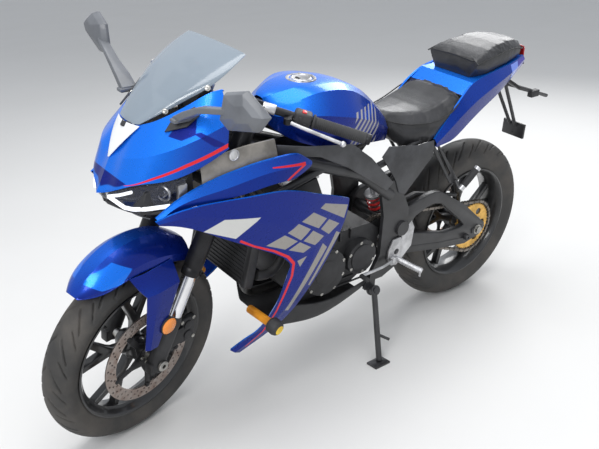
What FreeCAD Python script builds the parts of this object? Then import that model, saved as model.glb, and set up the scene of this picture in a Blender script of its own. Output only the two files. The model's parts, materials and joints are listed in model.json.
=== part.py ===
# Faired sport motorcycle leaning on its side stand, in millimetres.
# Each piece is drawn on the upright machine: X runs forward from the rear axle, Y to the rider's left,
# Z up from the ground.
# One placement then leans the machine to its stand, and a second one turns the steered pieces about the steering axis.
import FreeCAD
import Part
import math
import os

Vector = FreeCAD.Vector
Rotation = FreeCAD.Rotation
Placement = FreeCAD.Placement

ORIGIN = Vector(0, 0, 0)
ALONG_X = Vector(1, 0, 0)
ALONG_Y = Vector(0, 1, 0)
ALONG_Z = Vector(0, 0, 1)

# Driving dimensions
# name, value in mm or degrees, what it is
DRIVING = [
    ("wheelbase", 1365, "rear axle to front axle"),
    ("lean_angle", 6.86, "lean to the left on the side stand, degrees"),
    ("steer_angle", 13.35, "handlebar turned to the left at rest, degrees"),
    ("rake_angle", 25, "steering axis from the vertical, degrees"),
    ("trail", 95, "steering axis on the ground ahead of the front contact"),
    ("origin_ahead", 615.5, "middle of the machine ahead of the rear axle"),
    ("origin_left", 129.5, "middle of the machine to the left of the wheel plane"),
    ("rear_tyre_radius", 314, "rear tyre, 17 inch rim"),
    ("rear_crown_radius", 72, "rear tread crown across the tyre"),
    ("rear_rim_width", 102, "rear rim between its flanges"),
    ("front_tyre_radius", 293, "front tyre, 17 inch rim"),
    ("front_crown_radius", 57, "front tread crown across the tyre"),
    ("front_rim_width", 70, "front rim between its flanges"),
    ("bead_radius", 214, "tyre bead seat of a 17 inch rim"),
    ("rim_wall", 9, "rim barrel wall"),
    ("hub_radius", 34, "wheel hub outside"),
    ("axle_radius", 8.5, "wheel axle"),
    ("axle_bore", 6, "hollow front axle bore"),
    ("front_disc_radius", 148, "front brake disc"),
    ("front_disc_offset", 59, "front brake disc to the left of the wheel plane"),
    ("rear_disc_radius", 110, "rear brake disc"),
    ("rear_disc_offset", 66, "rear brake disc to the right of the wheel plane"),
    ("disc_thickness", 4.5, "brake discs"),
    ("chain_offset", 83.5, "chain line to the left of the wheel plane"),
    ("chain_width", 15, "chain across its pins"),
    ("sprocket_radius", 94, "rear sprocket tooth tips"),
    ("drive_sprocket_radius", 34, "gearbox sprocket, under its cover"),
    ("fork_spacing", 98, "fork leg to the left of the wheel plane"),
    ("fork_inner_radius", 20.5, "fork chrome tube"),
    ("fork_outer_radius", 27, "fork upper tube"),
    ("fork_outer_low", 545, "height of the lower end of the fork upper tube"),
    ("fork_top", 1004, "height of the fork caps"),
    ("yoke_low", 752, "height of the lower yoke"),
    ("yoke_high", 947, "height of the upper yoke"),
    ("yoke_thickness", 26, "yokes along the steering axis"),
    ("stem_radius", 15, "steering stem"),
    ("head_tube_radius", 31, "steering head tube outside"),
    ("head_tube_bore", 20.5, "steering head tube bore"),
    ("pivot_ahead", 430, "swingarm pivot ahead of the rear axle"),
    ("pivot_height", 452, "swingarm pivot"),
    ("frame_tube_radius", 19, "main frame spars"),
    ("subframe_tube_radius", 11, "seat frame tubes"),
    ("swingarm_half_width", 104, "swingarm arm to the left of the wheel plane"),
    ("swingarm_wall", 24, "swingarm arm across"),
    ("panel_wall", 3.2, "bodywork wall"),
    ("screen_wall", 3, "windscreen wall"),
    ("bar_radius", 11, "handlebar tube"),
    ("grip_radius", 16.5, "handlebar grip"),
    ("stand_foot_ahead", 585, "side stand foot on the floor ahead of the rear contact"),
    ("stand_foot_left", 243, "side stand foot on the floor to the left of the tyre line"),
    ("stand_pivot_ahead", 537, "side stand pivot ahead of the rear axle"),
    ("stand_pivot_left", 138, "side stand pivot to the left"),
    ("stand_pivot_height", 248, "side stand pivot"),
    ("stand_leg_radius", 10, "side stand leg"),
    ("stand_bolt_radius", 6, "side stand pivot bolt"),
    ("silencer_radius", 50, "silencer outside"),
    ("header_radius", 18, "exhaust header pipe"),
    ("spool_hole_radius", 4, "threaded hole for a paddock stand spool"),
    ("spool_boss_length", 14, "boss for a paddock stand spool"),
    ("plate_hole_radius", 3, "number plate screw hole"),
    ("slider_radius", 24, "crash bobbin"),
    ("running_gap", 0.3, "between pieces that touch on the real machine"),
]

doc = FreeCAD.newDocument("sport_bike")
sizes = doc.addObject("Spreadsheet::Sheet", "sizes")
for row, (name, value, words) in enumerate(DRIVING, start=2):
    sizes.set("A%d" % row, words)
    sizes.set("B%d" % row, str(value))
    sizes.setAlias("B%d" % row, name)
doc.recompute()


def size(name):
    return float(sizes.get(name))


# Geometry of the steering and of the lean
rake = math.radians(size("rake_angle"))
steering_foot = Vector(size("wheelbase") + size("trail"), 0, 0)
steering_up = Vector(-math.sin(rake), 0, math.cos(rake))
front_axle = Vector(size("wheelbase"), 0, size("front_tyre_radius"))
rear_axle = Vector(0, 0, size("rear_tyre_radius"))
gap = size("running_gap")


def on_steering_axis(height):
    return steering_foot + steering_up * (height / steering_up.z)


def on_fork_leg(height, side=1):
    """Point of a fork leg's centre line, which runs through the axle parallel to the steering axis."""
    along = (height - front_axle.z) / steering_up.z
    return front_axle + steering_up * along + Vector(0, side * size("fork_spacing"), 0)


def lowest(placement, centre, radius, crown):
    """Height of the lowest point of a wheel with a round crown."""
    hub = placement.multVec(centre)
    axis = placement.Rotation.multVec(ALONG_Y)
    return hub.z - (radius - crown) * math.sqrt(1 - axis.z ** 2) - crown


def turned_about(point, direction, degrees):
    turn = Rotation(direction, degrees)
    return Placement(point - turn.multVec(point), turn)


steered = turned_about(steering_foot, steering_up, size("steer_angle"))
lean = Placement(ORIGIN, Rotation(ALONG_X, -size("lean_angle")))
pitch_degrees = 0.0
for attempt in range(30):
    chassis_rest = lean.multiply(Placement(ORIGIN, Rotation(ALONG_Y, pitch_degrees)))
    rear_low = lowest(chassis_rest, rear_axle, size("rear_tyre_radius"), size("rear_crown_radius"))
    front_low = lowest(chassis_rest.multiply(steered), front_axle, size("front_tyre_radius"),
                       size("front_crown_radius"))
    pitch_degrees += math.degrees((front_low - rear_low) / size("wheelbase"))
to_origin = Placement(Vector(-size("origin_ahead"), -size("origin_left"), -rear_low), Rotation())
chassis_rest = to_origin.multiply(chassis_rest)
steering_rest = chassis_rest.multiply(steered)

pieces = []


def add_piece(label, rest, shape):
    """One named piece of the machine, set at rest."""
    piece = doc.addObject("Part::Feature", label)
    piece.Label = label
    piece.Shape = shape
    piece.Placement = rest.multiply(shape.Placement)
    pieces.append(piece)
    return piece


def mirrored(shape):
    return shape.mirror(ORIGIN, ALONG_Y)


def both_sides(shape):
    return Part.makeCompound([shape, mirrored(shape)])


def fused(shapes):
    whole = shapes[0].multiFuse(shapes[1:]) if len(shapes) > 1 else shapes[0]
    return whole.removeSplitter()


def rod(start, end, radius):
    along = end - start
    return Part.makeCylinder(radius, along.Length, start, along)


def tube(points, radius):
    """Round tube along straight runs, with a ball at each bend."""
    runs = [rod(a, b, radius) for a, b in zip(points, points[1:])]
    balls = [Part.makeSphere(radius, point) for point in points[1:-1]]
    return fused(runs + balls)


def slab(outline, y_low, y_high):
    """Plate with an outline in the XZ plane, from one Y to another."""
    corners = [Vector(x, y_low, z) for x, z in outline]
    face = Part.Face(Part.makePolygon(corners + corners[:1]))
    return face.extrude(Vector(0, y_high - y_low, 0))


def drum(centre, radius, y_low, y_high):
    """Disc or cylinder across the machine."""
    return Part.makeCylinder(radius, y_high - y_low, Vector(centre.x, y_low, centre.z), ALONG_Y)


def box(x_low, y_low, z_low, x_high, y_high, z_high):
    return Part.makeBox(x_high - x_low, y_high - y_low, z_high - z_low, Vector(x_low, y_low, z_low))


def turned_about_axle(profile, centre):
    """Solid of revolution about the wheel axis from edges in the (y, radius) plane."""
    wire = Part.Wire(profile)
    return Part.Face(wire).revolve(ORIGIN, ALONG_Y, 360).translated(centre)


def polygon_section(rows, x):
    """Closed cross-section of a body at one station, symmetric about the wheel plane."""
    left = [Vector(x, y, z) for y, z in rows]
    right = [Vector(x, -y, z) for y, z in reversed(rows) if y > 0]
    corners = left + right
    return Part.makePolygon(corners + corners[:1])


def rib(top, middle, low, wall):
    """Closed section of a bodywork panel: an outer arc, an inner arc and the two edges of the wall."""
    top, middle, low = Vector(*top), Vector(*middle), Vector(*low)
    chord = low - top
    normal = chord.cross(middle - top)
    if normal.Length < 1e-6:
        normal = chord.cross(ALONG_Y)
    inward = chord.cross(normal)
    inward.normalize()
    if inward.y * (top.y + low.y) > 0:
        inward = inward * -1
    shift = inward * wall
    outer = Part.Arc(top, middle, low).toShape()
    inner = Part.Arc(low + shift, middle + shift, top + shift).toShape()
    return Part.Wire([outer, Part.makeLine(low, low + shift), inner, Part.makeLine(top + shift, top)])


def panel(ribs, wall):
    """Thin curved panel through its ribs, each given as top, middle and low points."""
    return Part.makeLoft([rib(top, middle, low, wall) for top, middle, low in ribs], True, True)


# Tyres
def tyre_profile(radius, crown, rim_width):
    shoulder_y = crown * math.sin(math.radians(60))
    shoulder_r = radius - crown / 2
    bead_r = size("bead_radius")
    bulge_y = crown * 0.98
    bulge_r = (shoulder_r + bead_r) / 2
    bead_y = rim_width / 2
    points = [Vector(0, y, r) for y, r in [
        (-bead_y, bead_r), (-bulge_y, bulge_r), (-shoulder_y, shoulder_r), (0, radius),
        (shoulder_y, shoulder_r), (bulge_y, bulge_r), (bead_y, bead_r)]]
    return [Part.Arc(points[0], points[1], points[2]).toShape(),
            Part.Arc(points[2], points[3], points[4]).toShape(),
            Part.Arc(points[4], points[5], points[6]).toShape(),
            Part.makeLine(points[6], points[0])]


add_piece("rear_tyre", chassis_rest, turned_about_axle(
    tyre_profile(size("rear_tyre_radius"), size("rear_crown_radius"), size("rear_rim_width")), rear_axle))
add_piece("front_tyre", steering_rest, turned_about_axle(
    tyre_profile(size("front_tyre_radius"), size("front_crown_radius"), size("front_rim_width")), front_axle))


# Cast wheels: a barrel, a hub and five spokes that fork towards the rim
def cast_wheel(centre, rim_width, hub_left, hub_right, bore):
    seat = size("bead_radius")
    wall = size("rim_wall")
    half = rim_width / 2
    corners = [(-half, seat), (half, seat), (half, seat - wall), (half * 0.7, seat - wall * 2),
               (-half * 0.7, seat - wall * 2), (-half, seat - wall)]
    points = [Vector(0, y, r) for y, r in corners]
    barrel_outer = Part.Face(Part.makePolygon(points + points[:1])).revolve(ORIGIN, ALONG_Y, 360)
    hub = Part.makeCylinder(size("hub_radius"), hub_left + hub_right, Vector(0, -hub_right, 0), ALONG_Y)
    hub_edge = size("hub_radius") - 6
    fork_r = 110
    rim_r = seat - wall * 1.6
    spokes = []
    for number in range(5):
        turn = Rotation(ALONG_Y, 72 * number)
        stem = slab([(-17, hub_edge), (17, hub_edge), (13, fork_r), (-13, fork_r)], -15, 15)
        left = slab([(-13, fork_r - 4), (4, fork_r - 4), (48, rim_r), (30, rim_r)], -13, 13)
        right = slab([(13, fork_r - 4), (-4, fork_r - 4), (-48, rim_r), (-30, rim_r)], -13, 13)
        for arm in (stem, left, right):
            arm.Placement = Placement(ORIGIN, turn)
            spokes.append(arm)
    wheel = fused([barrel_outer, hub] + spokes)
    wheel = wheel.cut(Part.makeCylinder(bore, 400, Vector(0, -200, 0), ALONG_Y))
    return wheel.translated(centre)


axle_clear = size("axle_radius") + gap
add_piece("rear_wheel", chassis_rest, cast_wheel(rear_axle, size("rear_rim_width"), 56, 56, axle_clear))
add_piece("front_wheel", steering_rest, cast_wheel(front_axle, size("front_rim_width"), 52, 52, axle_clear))


def brake_disc(centre, radius, offset, hub_reach):
    """Drilled disc with a five armed carrier that is bolted to the hub."""
    half = size("disc_thickness") / 2
    ring = drum(centre, radius, offset - half, offset + half).cut(drum(centre, radius * 0.76, offset - 9, offset + 9))
    side = 1 if offset > 0 else -1
    inner = offset - side * hub_reach
    carrier = drum(centre, size("hub_radius"), min(inner, offset + side * half), max(inner, offset + side * half))
    arms = []
    for number in range(5):
        arm = slab([(-11, 25), (11, 25), (9, radius * 0.78), (-9, radius * 0.78)], offset - half, offset + half)
        arm.Placement = Placement(centre, Rotation(ALONG_Y, 72 * number + 36))
        arms.append(arm)
    disc = fused([ring, carrier] + arms)
    return disc.cut(drum(centre, axle_clear, offset - 60, offset + 60))


add_piece("front_disc", steering_rest, brake_disc(
    front_axle, size("front_disc_radius"), size("front_disc_offset"), size("front_disc_offset") - 52))
add_piece("rear_disc", chassis_rest, brake_disc(
    rear_axle, size("rear_disc_radius"), -size("rear_disc_offset"), size("rear_disc_offset") - 56))

# Rear sprocket with its teeth
tooth_count = 43
sprocket_r = size("sprocket_radius")
root_r = sprocket_r - 7
sprocket_y = size("chain_offset")
teeth = []
for number in range(tooth_count):
    for share, radius in ((0.0, root_r), (0.3, root_r), (0.42, sprocket_r), (0.58, sprocket_r), (0.7, root_r)):
        angle = 2 * math.pi * (number + share) / tooth_count
        teeth.append((rear_axle.x + radius * math.cos(angle), rear_axle.z + radius * math.sin(angle)))
sprocket = slab(teeth, sprocket_y - 3, sprocket_y + 3)
windows = [drum(rear_axle + Vector(62 * math.cos(a), 0, 62 * math.sin(a)), 13, sprocket_y - 9, sprocket_y + 9)
           for a in [2 * math.pi * n / 6 for n in range(6)]]
sprocket = fused([sprocket, drum(rear_axle, size("hub_radius"), 56, sprocket_y + 3)])
for window in windows:
    sprocket = sprocket.cut(window)
add_piece("rear_sprocket", chassis_rest, sprocket.cut(drum(rear_axle, axle_clear, 0, 120)))


# Swingarm: two arched arms with a long window, a cross tube at the pivot and the rear axle
pivot = Vector(size("pivot_ahead"), 0, size("pivot_height"))
arm_in = size("swingarm_half_width") - size("swingarm_wall") / 2
arm_out = size("swingarm_half_width") + size("swingarm_wall") / 2
arm_outline = [(452, 484), (300, 530), (240, 532), (90, 440), (-20, 350), (-42, 318), (-20, 286), (60, 270),
               (200, 292), (400, 335), (456, 420)]
arm_window = [(352, 462), (262, 488), (220, 478), (110, 385), (72, 350), (180, 352), (372, 408)]
arm = slab(arm_outline, arm_in, arm_out).cut(slab(arm_window, arm_in - 1, arm_out + 1))
pivot_tube = Part.makeCylinder(20, 2 * arm_in, Vector(pivot.x, -arm_in, pivot.z), ALONG_Y)
bridge = box(352, -arm_in, 292, 392, arm_in, 334)
swingarm = fused([arm, mirrored(arm), pivot_tube, bridge])
swingarm = swingarm.cut(drum(rear_axle, axle_clear, -arm_out - 1, arm_out + 1))
add_piece("swingarm", chassis_rest, swingarm)

# Rear axle with its nuts, and the collars between the arms and what turns
axle_end = size("swingarm_half_width") + 29
nut_end = axle_end - 3
nuts = [drum(rear_axle, 15, arm_out, nut_end), drum(rear_axle, 15, -nut_end, -arm_out)]
collars = [drum(rear_axle, 16, sprocket_y + 3 + gap, arm_in),
           drum(rear_axle, 16, -arm_in, -size("rear_disc_offset") - size("disc_thickness") / 2 - gap)]
add_piece("rear_axle", chassis_rest, fused([drum(rear_axle, size("axle_radius"), -axle_end, axle_end)] + nuts + collars))

# Threaded bosses on the arms for paddock stand spools
spool_boss = drum(Vector(60, 0, 300), 12, arm_out, arm_out + size("spool_boss_length"))
spool_boss = spool_boss.cut(drum(Vector(60, 0, 300), size("spool_hole_radius"), arm_out - 1, arm_out + 40))
add_piece("spool_bosses", chassis_rest, both_sides(spool_boss))

# Chain: two rows of side plates joined by pins, clear of the sprocket teeth
drive_centre = Vector(512, 0, 455)


def chain_loop(grow):
    """Closed outline around both sprockets, grown by a margin."""
    large = size("sprocket_radius") + grow
    small = size("drive_sprocket_radius") + grow
    between = drive_centre - rear_axle
    tilt = math.atan2(between.z, between.x)
    opening = math.acos((large - small) / between.Length)
    up, down = tilt + opening, tilt - opening

    def around(centre, radius, angle):
        return Vector(centre.x + radius * math.cos(angle), 0, centre.z + radius * math.sin(angle))

    back = (up + down) / 2 + math.pi
    ahead = (up + down) / 2
    edges = [Part.Arc(around(rear_axle, large, up), around(rear_axle, large, back),
                      around(rear_axle, large, down)).toShape(),
             Part.makeLine(around(rear_axle, large, down), around(drive_centre, small, down)),
             Part.Arc(around(drive_centre, small, down), around(drive_centre, small, ahead),
                      around(drive_centre, small, up)).toShape(),
             Part.makeLine(around(drive_centre, small, up), around(rear_axle, large, up))]
    return Part.Face(Part.Wire(edges))


chain_width = size("chain_width")
chain_in = sprocket_y - chain_width / 2
chain_band = chain_loop(13).cut(chain_loop(1.5)).extrude(Vector(0, chain_width, 0))
add_piece("chain", chassis_rest, chain_band.translated(Vector(0, chain_in, 0)))

guard = slab([(120, 448), (330, 512), (420, 500), (420, 506), (330, 520), (110, 455)], chain_in, arm_in - gap)
add_piece("chain_guard", chassis_rest, guard.translated(Vector(0, 0, 18)))

# Main frame: head tube, two spars, pivot plates and the cross tubes between them
head_low = on_steering_axis(size("yoke_low") + 22)
head_high = on_steering_axis(size("yoke_high") - 22)
frame_r = size("frame_tube_radius")
head_tube = rod(head_low, head_high, size("head_tube_radius"))
spar_line = [Vector(1076, 20, 868), Vector(985, 62, 832), Vector(915, 124, 806), Vector(640, 138, 700)]
upper_spar = tube(spar_line + [Vector(500, 128, 590)], frame_r)
lower_spar = tube([Vector(1088, 22, 812), Vector(990, 120, 700), Vector(900, 132, 560)], frame_r * 0.8)
brace = tube([Vector(985, 122, 700), Vector(790, 136, 756)], frame_r * 0.6)
pivot_plate = slab([(548, 640), (470, 640), (405, 520), (402, 400), (440, 310), (500, 285), (556, 285), (556, 310),
                    (520, 380), (520, 520)], 118, 132)
pivot_caps = drum(pivot, 26, 132, 141)
left_frame = fused([upper_spar, lower_spar, brace, pivot_plate, pivot_caps])
cross_tubes = [Part.makeCylinder(radius, 240, Vector(x, -120, z), ALONG_Y)
               for x, z, radius in ((500, 600, 16), (452, 330, 14))]
stand_pivot = Vector(size("stand_pivot_ahead"), size("stand_pivot_left"), size("stand_pivot_height"))
main_frame = fused([head_tube, left_frame, mirrored(left_frame)] + cross_tubes)
main_frame = main_frame.cut(rod(head_low - steering_up * 5, head_high + steering_up * 5, size("head_tube_bore")))
main_frame = main_frame.cut(drum(pivot, 25, -arm_out - gap, arm_out + gap))
add_piece("main_frame", chassis_rest, main_frame)

# Seat frame
sub_r = size("subframe_tube_radius")
upper_rail = tube([Vector(560, 120, 700), Vector(420, 105, 720), Vector(200, 92, 800), Vector(-120, 60, 872)], sub_r)
lower_rail = tube([Vector(505, 120, 628), Vector(250, 100, 742), Vector(60, 84, 812)], sub_r)
stay = tube([Vector(300, 98, 720), Vector(240, 92, 785)], sub_r * 0.8)
left_rails = fused([upper_rail, lower_rail, stay])
ties = [Part.makeCylinder(sub_r, 2 * y, Vector(x, -y, z), ALONG_Y) for x, y, z in ((200, 92, 800), (-100, 62, 868))]
subframe = fused([left_rails, mirrored(left_rails)] + ties)
add_piece("subframe", chassis_rest, subframe.cut(main_frame))

# Engine: crankcase, inclined cylinders and head, side covers
crankcase = slab([(520, 400), (560, 340), (640, 296), (830, 296), (880, 350), (880, 460), (800, 500), (560, 500),
                  (520, 470)], -112, 112)
cylinders = slab([(720, 490), (862, 455), (905, 610), (890, 690), (790, 712), (760, 640)], -105, 105)
covers = [drum(Vector(770, 0, 400), 78, 112, 152), drum(Vector(610, 0, 400), 60, 112, 140),
          drum(Vector(700, 0, 395), 92, -158, -112)]
chain_room = chain_loop(17).extrude(Vector(0, chain_width + 6, 0)).translated(Vector(0, chain_in - 3, 0))
drive_sprocket = drum(drive_centre, size("drive_sprocket_radius"), chain_in - 12, chain_in + chain_width)
engine = fused([crankcase, cylinders] + covers).cut(chain_room).cut(main_frame)
engine = fused([engine, drive_sprocket])
add_piece("engine", chassis_rest, engine)

radiator = box(-16, -150, -120, 16, 150, 120)
radiator.Placement = Placement(Vector(1040, 0, 560), Rotation(ALONG_Y, -12))
add_piece("radiator", chassis_rest, radiator)

# Exhaust: header pipes under the engine and a silencer on the right
header_r = size("header_radius")
can_r = size("silencer_radius")
header_end = Vector(372, -160, 268)
can_front = Vector(300, -172, 296)
can_rear = Vector(60, -186, 392)
header = tube([Vector(885, -50, 600), Vector(950, -50, 560), Vector(950, -50, 330), Vector(885, -60, 264),
               Vector(470, -70, 262), header_end], header_r)
cone_line = can_front - header_end
cone = Part.makeCone(header_r + 2, can_r, cone_line.Length, header_end, cone_line)
can = fused([rod(can_front, can_rear, can_r), Part.makeSphere(can_r, can_front)])
outlet = rod(can_rear, can_rear + (can_rear - can_front) * 0.08, 22)
add_piece("exhaust", chassis_rest, fused([header, cone, can, outlet]).cut(engine))

# Fuel tank
# x, half width and height at the ridge, at the shoulder, at the widest line and along the bottom edge
TANK = [
    (925, 22, 988, 46, 974, 74, 930, 72, 872),
    (880, 44, 1010, 84, 990, 116, 935, 106, 848),
    (800, 60, 1024, 108, 1004, 148, 920, 130, 820),
    (690, 56, 1000, 106, 982, 152, 895, 126, 800),
    (590, 50, 930, 90, 915, 120, 855, 104, 780),
    (486, 44, 838, 66, 826, 84, 800, 78, 760),
]
tank_sections = [polygon_section([(0, ridge_z + 3), (ridge_y, ridge_z), (shoulder_y, shoulder_z), (wide_y, wide_z),
                                  (low_y, low_z), (0, low_z)], x)
                 for x, ridge_y, ridge_z, shoulder_y, shoulder_z, wide_y, wide_z, low_y, low_z in TANK]
tank = Part.makeLoft(tank_sections, True, True)
frame_clear = tube(spar_line, frame_r + 2)
tank = tank.cut(frame_clear).cut(mirrored(frame_clear))
add_piece("fuel_tank", chassis_rest, tank)
cap_foot = Vector(797, 0, 1027 + gap)
filler = fused([Part.makeCylinder(44, 6, cap_foot), Part.makeCylinder(34, 11, cap_foot)])
add_piece("filler_cap", chassis_rest, filler)

# Seats
# x, half width on top, height on top, widest half width and its height, half width and height of the lower edge
RIDER_SEAT = [
    (478, 34, 842, 48, 825, 50, 775),
    (430, 62, 828, 92, 800, 92, 742),
    (340, 92, 828, 128, 800, 124, 748),
    (262, 100, 850, 136, 822, 130, 778),
    (212, 86, 874, 120, 850, 116, 815),
]
PILLION_SEAT = [
    (132, 92, 972, 112, 952, 100, 912),
    (60, 90, 1004, 112, 980, 100, 930),
    (-60, 74, 1010, 92, 985, 84, 940),
    (-160, 50, 990, 62, 968, 56, 940),
]


def seat_solid(rows):
    sections = [polygon_section([(0, top_z + 4), (top_y, top_z), (wide_y, wide_z), (low_y, low_z), (0, low_z)], x)
                for x, top_y, top_z, wide_y, wide_z, low_y, low_z in rows]
    return Part.makeLoft(sections, True, True)


rider_seat = seat_solid(RIDER_SEAT)
add_piece("rider_seat", chassis_rest, rider_seat.cut(tank).cut(subframe))
pillion_seat = seat_solid(PILLION_SEAT)
add_piece("pillion_seat", chassis_rest, pillion_seat)

# Tail cowl
TAIL_SIDE = [
    ((318, 132, 742), (312, 137, 728), (306, 133, 714)),
    ((222, 130, 852), (220, 142, 800), (222, 130, 722)),
    ((150, 118, 904), (130, 138, 850), (112, 124, 790)),
    ((40, 116, 924), (20, 128, 885), (0, 112, 838)),
    ((-80, 96, 934), (-85, 106, 908), (-92, 90, 874)),
    ((-172, 66, 940), (-180, 70, 925), (-184, 60, 902)),
]
tail_side = panel(TAIL_SIDE, size("panel_wall"))
tail_deck = slab([(210, 812), (150, 898), (144, 896), (204, 808)], -110, 110)
tail_end = slab([(-172, 938), (-184, 904), (-190, 904), (-178, 938)], -60, 60)
add_piece("tail_cowl", chassis_rest, fused([tail_side, mirrored(tail_side), tail_deck, tail_end]).cut(
    pillion_seat).cut(rider_seat).cut(subframe))
lamp = slab([(-180, 972), (-178, 940), (-192, 904), (-206, 920), (-200, 966)], -52, 52)
add_piece("tail_lamp", chassis_rest, lamp.cut(tail_end).cut(pillion_seat))

# Rear mudguard and number plate bracket
guard_strut = [tube([Vector(-150, side * 24, 830), Vector(-272, side * 12, 640)], 7) for side in (1, -1)]
guard_arm = [tube([Vector(-120, side * 30, 860), Vector(-230, side * 30, 800), Vector(-420, side * 30, 740)], 7)
             for side in (1, -1)]
mudguard = slab([(60, 800), (-140, 860), (-235, 806), (-235, 798), (-140, 850), (60, 788)], -48, 48)
plate_mount = box(-290, -50, 590, -278, 50, 650)
undertray = fused(guard_strut + guard_arm + [mudguard, plate_mount])
undertray = undertray.cut(Part.makeCylinder(size("plate_hole_radius"), 40, Vector(-300, 0, 610), ALONG_X))
add_piece("plate_bracket", chassis_rest, undertray.cut(subframe).cut(tail_end))

# Nose cowl
NOSE_SIDE = [
    ((1339, 0, 959), (1392, 0, 877), (1435, 0, 787)),
    ((1332, 40, 960), (1385, 62, 892), (1412, 60, 812)),
    ((1300, 82, 980), (1352, 115, 905), (1380, 112, 838)),
    ((1240, 112, 1012), (1290, 160, 930), (1305, 165, 850)),
    ((1180, 146, 1054), (1205, 192, 965), (1210, 192, 888)),
    ((1152, 158, 1060), (1158, 200, 985), (1160, 196, 912)),
]
nose_side = panel(NOSE_SIDE, size("panel_wall"))
add_piece("nose_cowl", chassis_rest, fused([nose_side, mirrored(nose_side)]))


# Windscreen
# x, height of the middle, x, half width and height of the edge
SCREEN = [
    (1336, 966, 1322, 56, 972),
    (1268, 1034, 1240, 104, 1022),
    (1180, 1092, 1168, 142, 1066),
    (1072, 1134, 1071, 139, 1129),
]
screen_ribs = []
for mid_x, mid_z, edge_x, edge_y, edge_z in SCREEN:
    outer = [Vector(edge_x, edge_y, edge_z), Vector(mid_x, 0, mid_z), Vector(edge_x, -edge_y, edge_z)]
    drop = Vector(edge_x - mid_x, 0, edge_z - mid_z)
    drop.multiply(size("screen_wall") / drop.Length)
    inner = [point + drop for point in outer]
    screen_ribs.append(Part.Wire([Part.Arc(*outer).toShape(), Part.makeLine(outer[2], inner[2]),
                                  Part.Arc(inner[2], inner[1], inner[0]).toShape(), Part.makeLine(inner[0], outer[0])]))
add_piece("windscreen", chassis_rest, Part.makeLoft(screen_ribs, True, True))

# Headlight
HEADLIGHT = [
    (1405, 20, 806, 30, 770),
    (1368, 70, 834, 74, 745),
    (1300, 140, 836, 146, 750),
    (1240, 156, 850, 156, 770),
]
lamp_sections = [polygon_section([(0, top_z), (top_y, top_z), (low_y, low_z), (0, low_z)], x)
                 for x, top_y, top_z, low_y, low_z in HEADLIGHT]
headlight = Part.makeLoft(lamp_sections, True, True).cut(fused([nose_side, mirrored(nose_side)]))
add_piece("headlight", chassis_rest, headlight)

# Stay that carries the nose, and the instruments
stay_arm = tube([Vector(1060, 12, 880), Vector(1195, 12, 905), Vector(1250, 80, 905)], 8)
dash = slab([(1214, 1004), (1160, 1046), (1146, 1030), (1196, 988)], -62, 62)
dash_post = rod(Vector(1180, 0, 900), Vector(1180, 0, 1006), 9)
stay = fused([stay_arm, mirrored(stay_arm), dash, dash_post, box(1168, -20, 892, 1206, 20, 914)])
add_piece("instruments", chassis_rest, stay.cut(rod(head_low, head_high, size("head_tube_radius") + 1)).cut(headlight))

# Side fairing
SIDE_FAIRING = [
    ((1384, 181, 786), (1378, 186, 780), (1372, 184, 772)),
    ((1250, 218, 792), (1248, 216, 760), (1262, 205, 722)),
    ((1118, 234, 786), (1128, 230, 720), (1152, 216, 656)),
    ((1000, 236, 776), (998, 234, 670), (1000, 220, 568)),
    ((880, 230, 730), (925, 230, 620), (965, 218, 530)),
    ((755, 214, 680), (870, 222, 575), (978, 216, 490)),
    ((775, 212, 585), (895, 216, 495), (1000, 208, 410)),
    ((850, 200, 440), (950, 204, 385), (1040, 200, 345)),
    ((960, 184, 310), (1040, 190, 300), (1105, 188, 290)),
    ((1100, 176, 262), (1120, 180, 264), (1140, 178, 266)),
]
side_fairing = panel(SIDE_FAIRING, size("panel_wall"))
add_piece("side_fairing_left", chassis_rest, side_fairing)
add_piece("side_fairing_right", chassis_rest, mirrored(side_fairing))

# Upper wing panel
WING = [
    ((1376, 172, 784), (1372, 176, 778), (1368, 174, 772)),
    ((1250, 184, 824), (1246, 198, 806), (1242, 202, 786)),
    ((1163, 192, 846), (1158, 212, 818), (1150, 218, 788)),
    ((1060, 196, 858), (1052, 214, 830), (1040, 222, 798)),
    ((938, 194, 856), (946, 208, 822), (957, 210, 788)),
    ((884, 190, 818), (888, 196, 812), (892, 196, 806)),
]
wing = panel(WING, size("panel_wall"))
add_piece("wing_left", chassis_rest, wing)
add_piece("wing_right", chassis_rest, mirrored(wing))

# Dark inner panels between the nose, the wing and the frame
INNER = [
    ((1230, 176, 880), (1228, 178, 850), (1226, 176, 815)),
    ((1120, 184, 905), (1116, 188, 870), (1112, 186, 835)),
    ((1000, 172, 900), (998, 180, 872), (996, 184, 846)),
]
inner_panel = panel(INNER, size("panel_wall"))
add_piece("inner_panels", chassis_rest, both_sides(inner_panel))

# Side covers over the frame below the tank
cover = slab([(985, 858), (880, 846), (690, 796), (600, 776), (520, 650), (492, 560), (556, 560), (620, 690), (700, 740),
              (880, 790), (985, 800)], 160, 164)
add_piece("side_covers", chassis_rest, both_sides(cover))

# Belly pan under the engine
BELLY = [
    (930, 120, 320, 96, 226),
    (760, 150, 286, 110, 200),
    (560, 120, 290, 92, 232),
]
belly_sections = []
belly_inner = []
for x, top_y, top_z, low_y, low_z in BELLY:
    wall = size("panel_wall")
    outer = [Vector(x, top_y, top_z), Vector(x, low_y, low_z), Vector(x, -low_y, low_z), Vector(x, -top_y, top_z)]
    inner = [Vector(x, -top_y + wall, top_z), Vector(x, -low_y + wall, low_z + wall),
             Vector(x, low_y - wall, low_z + wall), Vector(x, top_y - wall, top_z)]
    belly_sections.append(Part.makePolygon(outer + inner + outer[:1]))
add_piece("belly_pan", chassis_rest, Part.makeLoft(belly_sections, True, True))

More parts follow.
